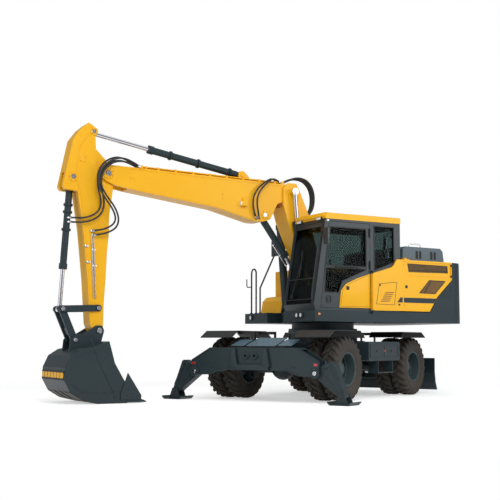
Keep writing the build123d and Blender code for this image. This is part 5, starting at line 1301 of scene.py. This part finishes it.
def soft_pad(name, low, high, lean=0.0, cap=0.022):
    """A cushion as a mesh in the superstructure's frame; lean tips it back about its lower edge."""
    bm = bmesh.new()
    block(bm, low, high)
    bmesh.ops.subdivide_edges(bm, edges=bm.edges[:], cuts=5, use_grid_fill=True)
    middle = (Vector(low) + Vector(high)) / 2
    half = (Vector(high) - Vector(low)) / 2
    for vert in bm.verts:
        away = [(vert.co[axis] - middle[axis]) / half[axis] for axis in range(3)]
        bolster = 0.1 * max(0.0, abs(away[1]) - 0.55)
        vert.co.z += bolster * (1 if away[2] > 0 and not lean else 0)
        vert.co.x += bolster * (1 if away[0] > 0 and lean else 0)
    mesh = bpy.data.meshes.new(name)
    bm.to_mesh(mesh)
    bm.free()
    pad = bpy.data.objects.new(name, mesh)
    bpy.context.scene.collection.objects.link(pad)
    swell(pad, cap)
    bm = bmesh.new()
    bm.from_mesh(pad.data)
    bmesh.ops.smooth_vert(bm, verts=bm.verts, factor=0.5, use_axis_x=True, use_axis_y=True, use_axis_z=True)
    if lean:
        foot = Vector((middle.x, middle.y, low[2]))
        bmesh.ops.rotate(bm, cent=foot, matrix=Matrix.Rotation(lean, 3, "Y"), verts=bm.verts)
    bpy.data.objects.remove(pad)
    return bm


# %% The cushion and the back
bm = soft_pad("seat_cushion", (-0.35, 0.56, 1.925), (0.16, 1.0, 1.985))
cushion = finish_piece(bm, "seat_cushion", "upper", FABRIC, sharp=80.0)
bm = soft_pad("seat_back", (-0.365, 0.57, 2.035), (-0.285, 0.99, 2.57), math.radians(-9.0))
back = finish_piece(bm, "seat_back", "upper", FABRIC, sharp=80.0)

# %% The seat's base and seams
bm = bmesh.new()
block(bm, (-0.33, 0.6, 1.56), (0.12, 0.96, 1.64), 0.012)
for step in range(5):
    block(bm, (-0.3, 0.63, 1.65 + 0.042 * step), (0.09, 0.93, 1.676 + 0.042 * step), 0.012)
block(bm, (-0.36, 0.56, 1.862), (0.16, 1.0, 1.915), 0.012)
rod(bm, (-0.345, 0.555, 1.99), (-0.345, 1.005, 1.99), 0.026, 20, round_by=0.004)
base = finish_piece(bm, "seat_base", "upper", SEAL_AND_SHADE_BLACK)
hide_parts("seat")
bm = bmesh.new()
for y in (0.64, 0.92):
    bent(bm, [(-0.34, y, 1.99), (-0.11, y, 2.03), (0.12, y, 1.99), (0.185, y, 1.95)], 0.0035)
finish_piece(bm, "seat_piping", "upper", SEAL_AND_SHADE_BLACK, "seat_fabric")

# %% Levers, pedals and a screen
BOOT = [(0.0, 0.04), (0.016, 0.04), (0.022, 0.032), (0.03, 0.034), (0.036, 0.026), (0.046, 0.028),
        (0.054, 0.014), (0.054, 0.0008), (0.0, 0.0008)]
bm = bmesh.new()
for y in (0.45, 1.1):
    spun(bm, BOOT, (0.12, y, 2.178), (0, 0, 1), 24)
    rod(bm, (0.12, y, 2.222), (0.13, y, 2.33), 0.009, 12)
    rod(bm, (0.128, y, 2.3), (0.142, y, 2.42), 0.018, 16, far_radius=0.022, round_by=0.005)
for y in (0.64, 0.7, 0.85, 0.91):
    block(bm, (0.64, y - 0.024, 1.585), (0.7, y + 0.024, 1.6), 0.003)
block(bm, (0.64, 0.33, 2.22), (0.67, 0.48, 2.4), 0.008)
finish_piece(bm, "cab_levers", "upper", SEAL_AND_SHADE_BLACK)

# %% [markdown]
# ## Floor and light
# The machine stands in a plain studio: a white floor that keeps a soft shadow, a white
# surrounding, and large soft lamps in front, above and from the left.

# %% Floor that is white to the camera, in mirrors and through glass
def pale_surface(name, ground, lift, near, far):
    """A matt floor that reads white, and keeps its shadow near the machine."""
    made, tree, out = new_material(name)
    matt = node(tree, "BsdfDiffuse")
    matt.inputs["Color"].default_value = (*ground, 1.0)
    raised, white = node(tree, "Emission"), node(tree, "Emission")
    raised.inputs["Strength"].default_value = lift
    white.inputs["Strength"].default_value = 1.0
    shaded = node(tree, "AddShader")
    tree.links.new(matt.outputs[0], shaded.inputs[0])
    tree.links.new(raised.outputs[0], shaded.inputs[1])
    place = node(tree, "TexCoord")
    away = node(tree, "VectorMath", operation="LENGTH")
    tree.links.new(place.outputs["Object"], away.inputs[0])
    past = maths(tree, "SUBTRACT", away.outputs["Value"], near)
    distance = maths(tree, "DIVIDE", past, far - near, clamp=True)
    fading, seen = node(tree, "MixShader"), node(tree, "MixShader")
    tree.links.new(distance, fading.inputs["Fac"])
    tree.links.new(shaded.outputs[0], fading.inputs[1])
    tree.links.new(white.outputs[0], fading.inputs[2])
    ray = node(tree, "LightPath")
    shown = maths(tree, "MAXIMUM", ray.outputs["Is Camera Ray"], ray.outputs["Is Transmission Ray"])
    shown = maths(tree, "MAXIMUM", shown, ray.outputs["Is Glossy Ray"])
    tree.links.new(shown, seen.inputs["Fac"])
    tree.links.new(matt.outputs[0], seen.inputs[1])
    tree.links.new(fading.outputs[0], seen.inputs[2])
    tree.links.new(seen.outputs[0], out.inputs["Surface"])
    return made


bm = bmesh.new()
bmesh.ops.create_grid(bm, x_segments=1, y_segments=1, size=40.0)
mesh = bpy.data.meshes.new("floor")
bm.to_mesh(mesh)
bm.free()
floor = bpy.data.objects.new("floor", mesh)
bpy.context.scene.collection.objects.link(floor)
WHITE_NEAR, WHITE_FAR = 4.5, 9.0
floor.data.materials.append(pale_surface("pale_floor", (0.9, 0.9, 0.9), 0.48, WHITE_NEAR, WHITE_FAR))

# %% A surrounding that is white to the camera and softer as light
WORLD_LIGHT = 0.36
world = bpy.data.worlds.new("studio")
world.use_nodes = True
tree = world.node_tree
tree.nodes.clear()
out = node(tree, "OutputWorld")
seen, lit, both = node(tree, "Background"), node(tree, "Background"), node(tree, "MixShader")
seen.inputs["Color"].default_value = (1.0, 1.0, 1.0, 1.0)
seen.inputs["Strength"].default_value = 1.0
lit.inputs["Color"].default_value = (0.95, 0.97, 1.0, 1.0)
lit.inputs["Strength"].default_value = WORLD_LIGHT
ray = node(tree, "LightPath")
plain = maths(tree, "MAXIMUM", ray.outputs["Is Camera Ray"], ray.outputs["Is Transmission Ray"])
tree.links.new(plain, both.inputs["Fac"])
tree.links.new(lit.outputs[0], both.inputs[1])
tree.links.new(seen.outputs[0], both.inputs[2])
tree.links.new(both.outputs[0], out.inputs["Surface"])
bpy.context.scene.world = world

# %% Lamps: name, place, aim, size, watts
LAMPS = (("key", (9.0, 8.0, 9.0), (0.0, 0.0, 1.5), 7.0, 830.0),
         ("fill", (12.0, -6.0, 5.0), (0.0, 0.0, 1.5), 8.0, 270.0),
         ("left", (-2.0, 12.0, 5.0), (0.0, 0.0, 1.5), 7.0, 350.0),
         ("above", (0.0, 0.0, 11.0), (0.0, 0.0, 0.0), 9.0, 200.0))
for name, spot, aim, size, watts in LAMPS:
    lamp = bpy.data.lights.new(name, "AREA")
    lamp.shape, lamp.size, lamp.energy = "DISK", size, watts
    made = bpy.data.objects.new(name, lamp)
    bpy.context.scene.collection.objects.link(made)
    spot, aim = Vector(spot), Vector(aim)
    made.matrix_world = Matrix.Translation(spot) @ (aim - spot).to_track_quat("-Z", "Y").to_matrix().to_4x4()
bpy.context.scene.view_settings.view_transform = "Standard"
print("lamps", len(LAMPS))
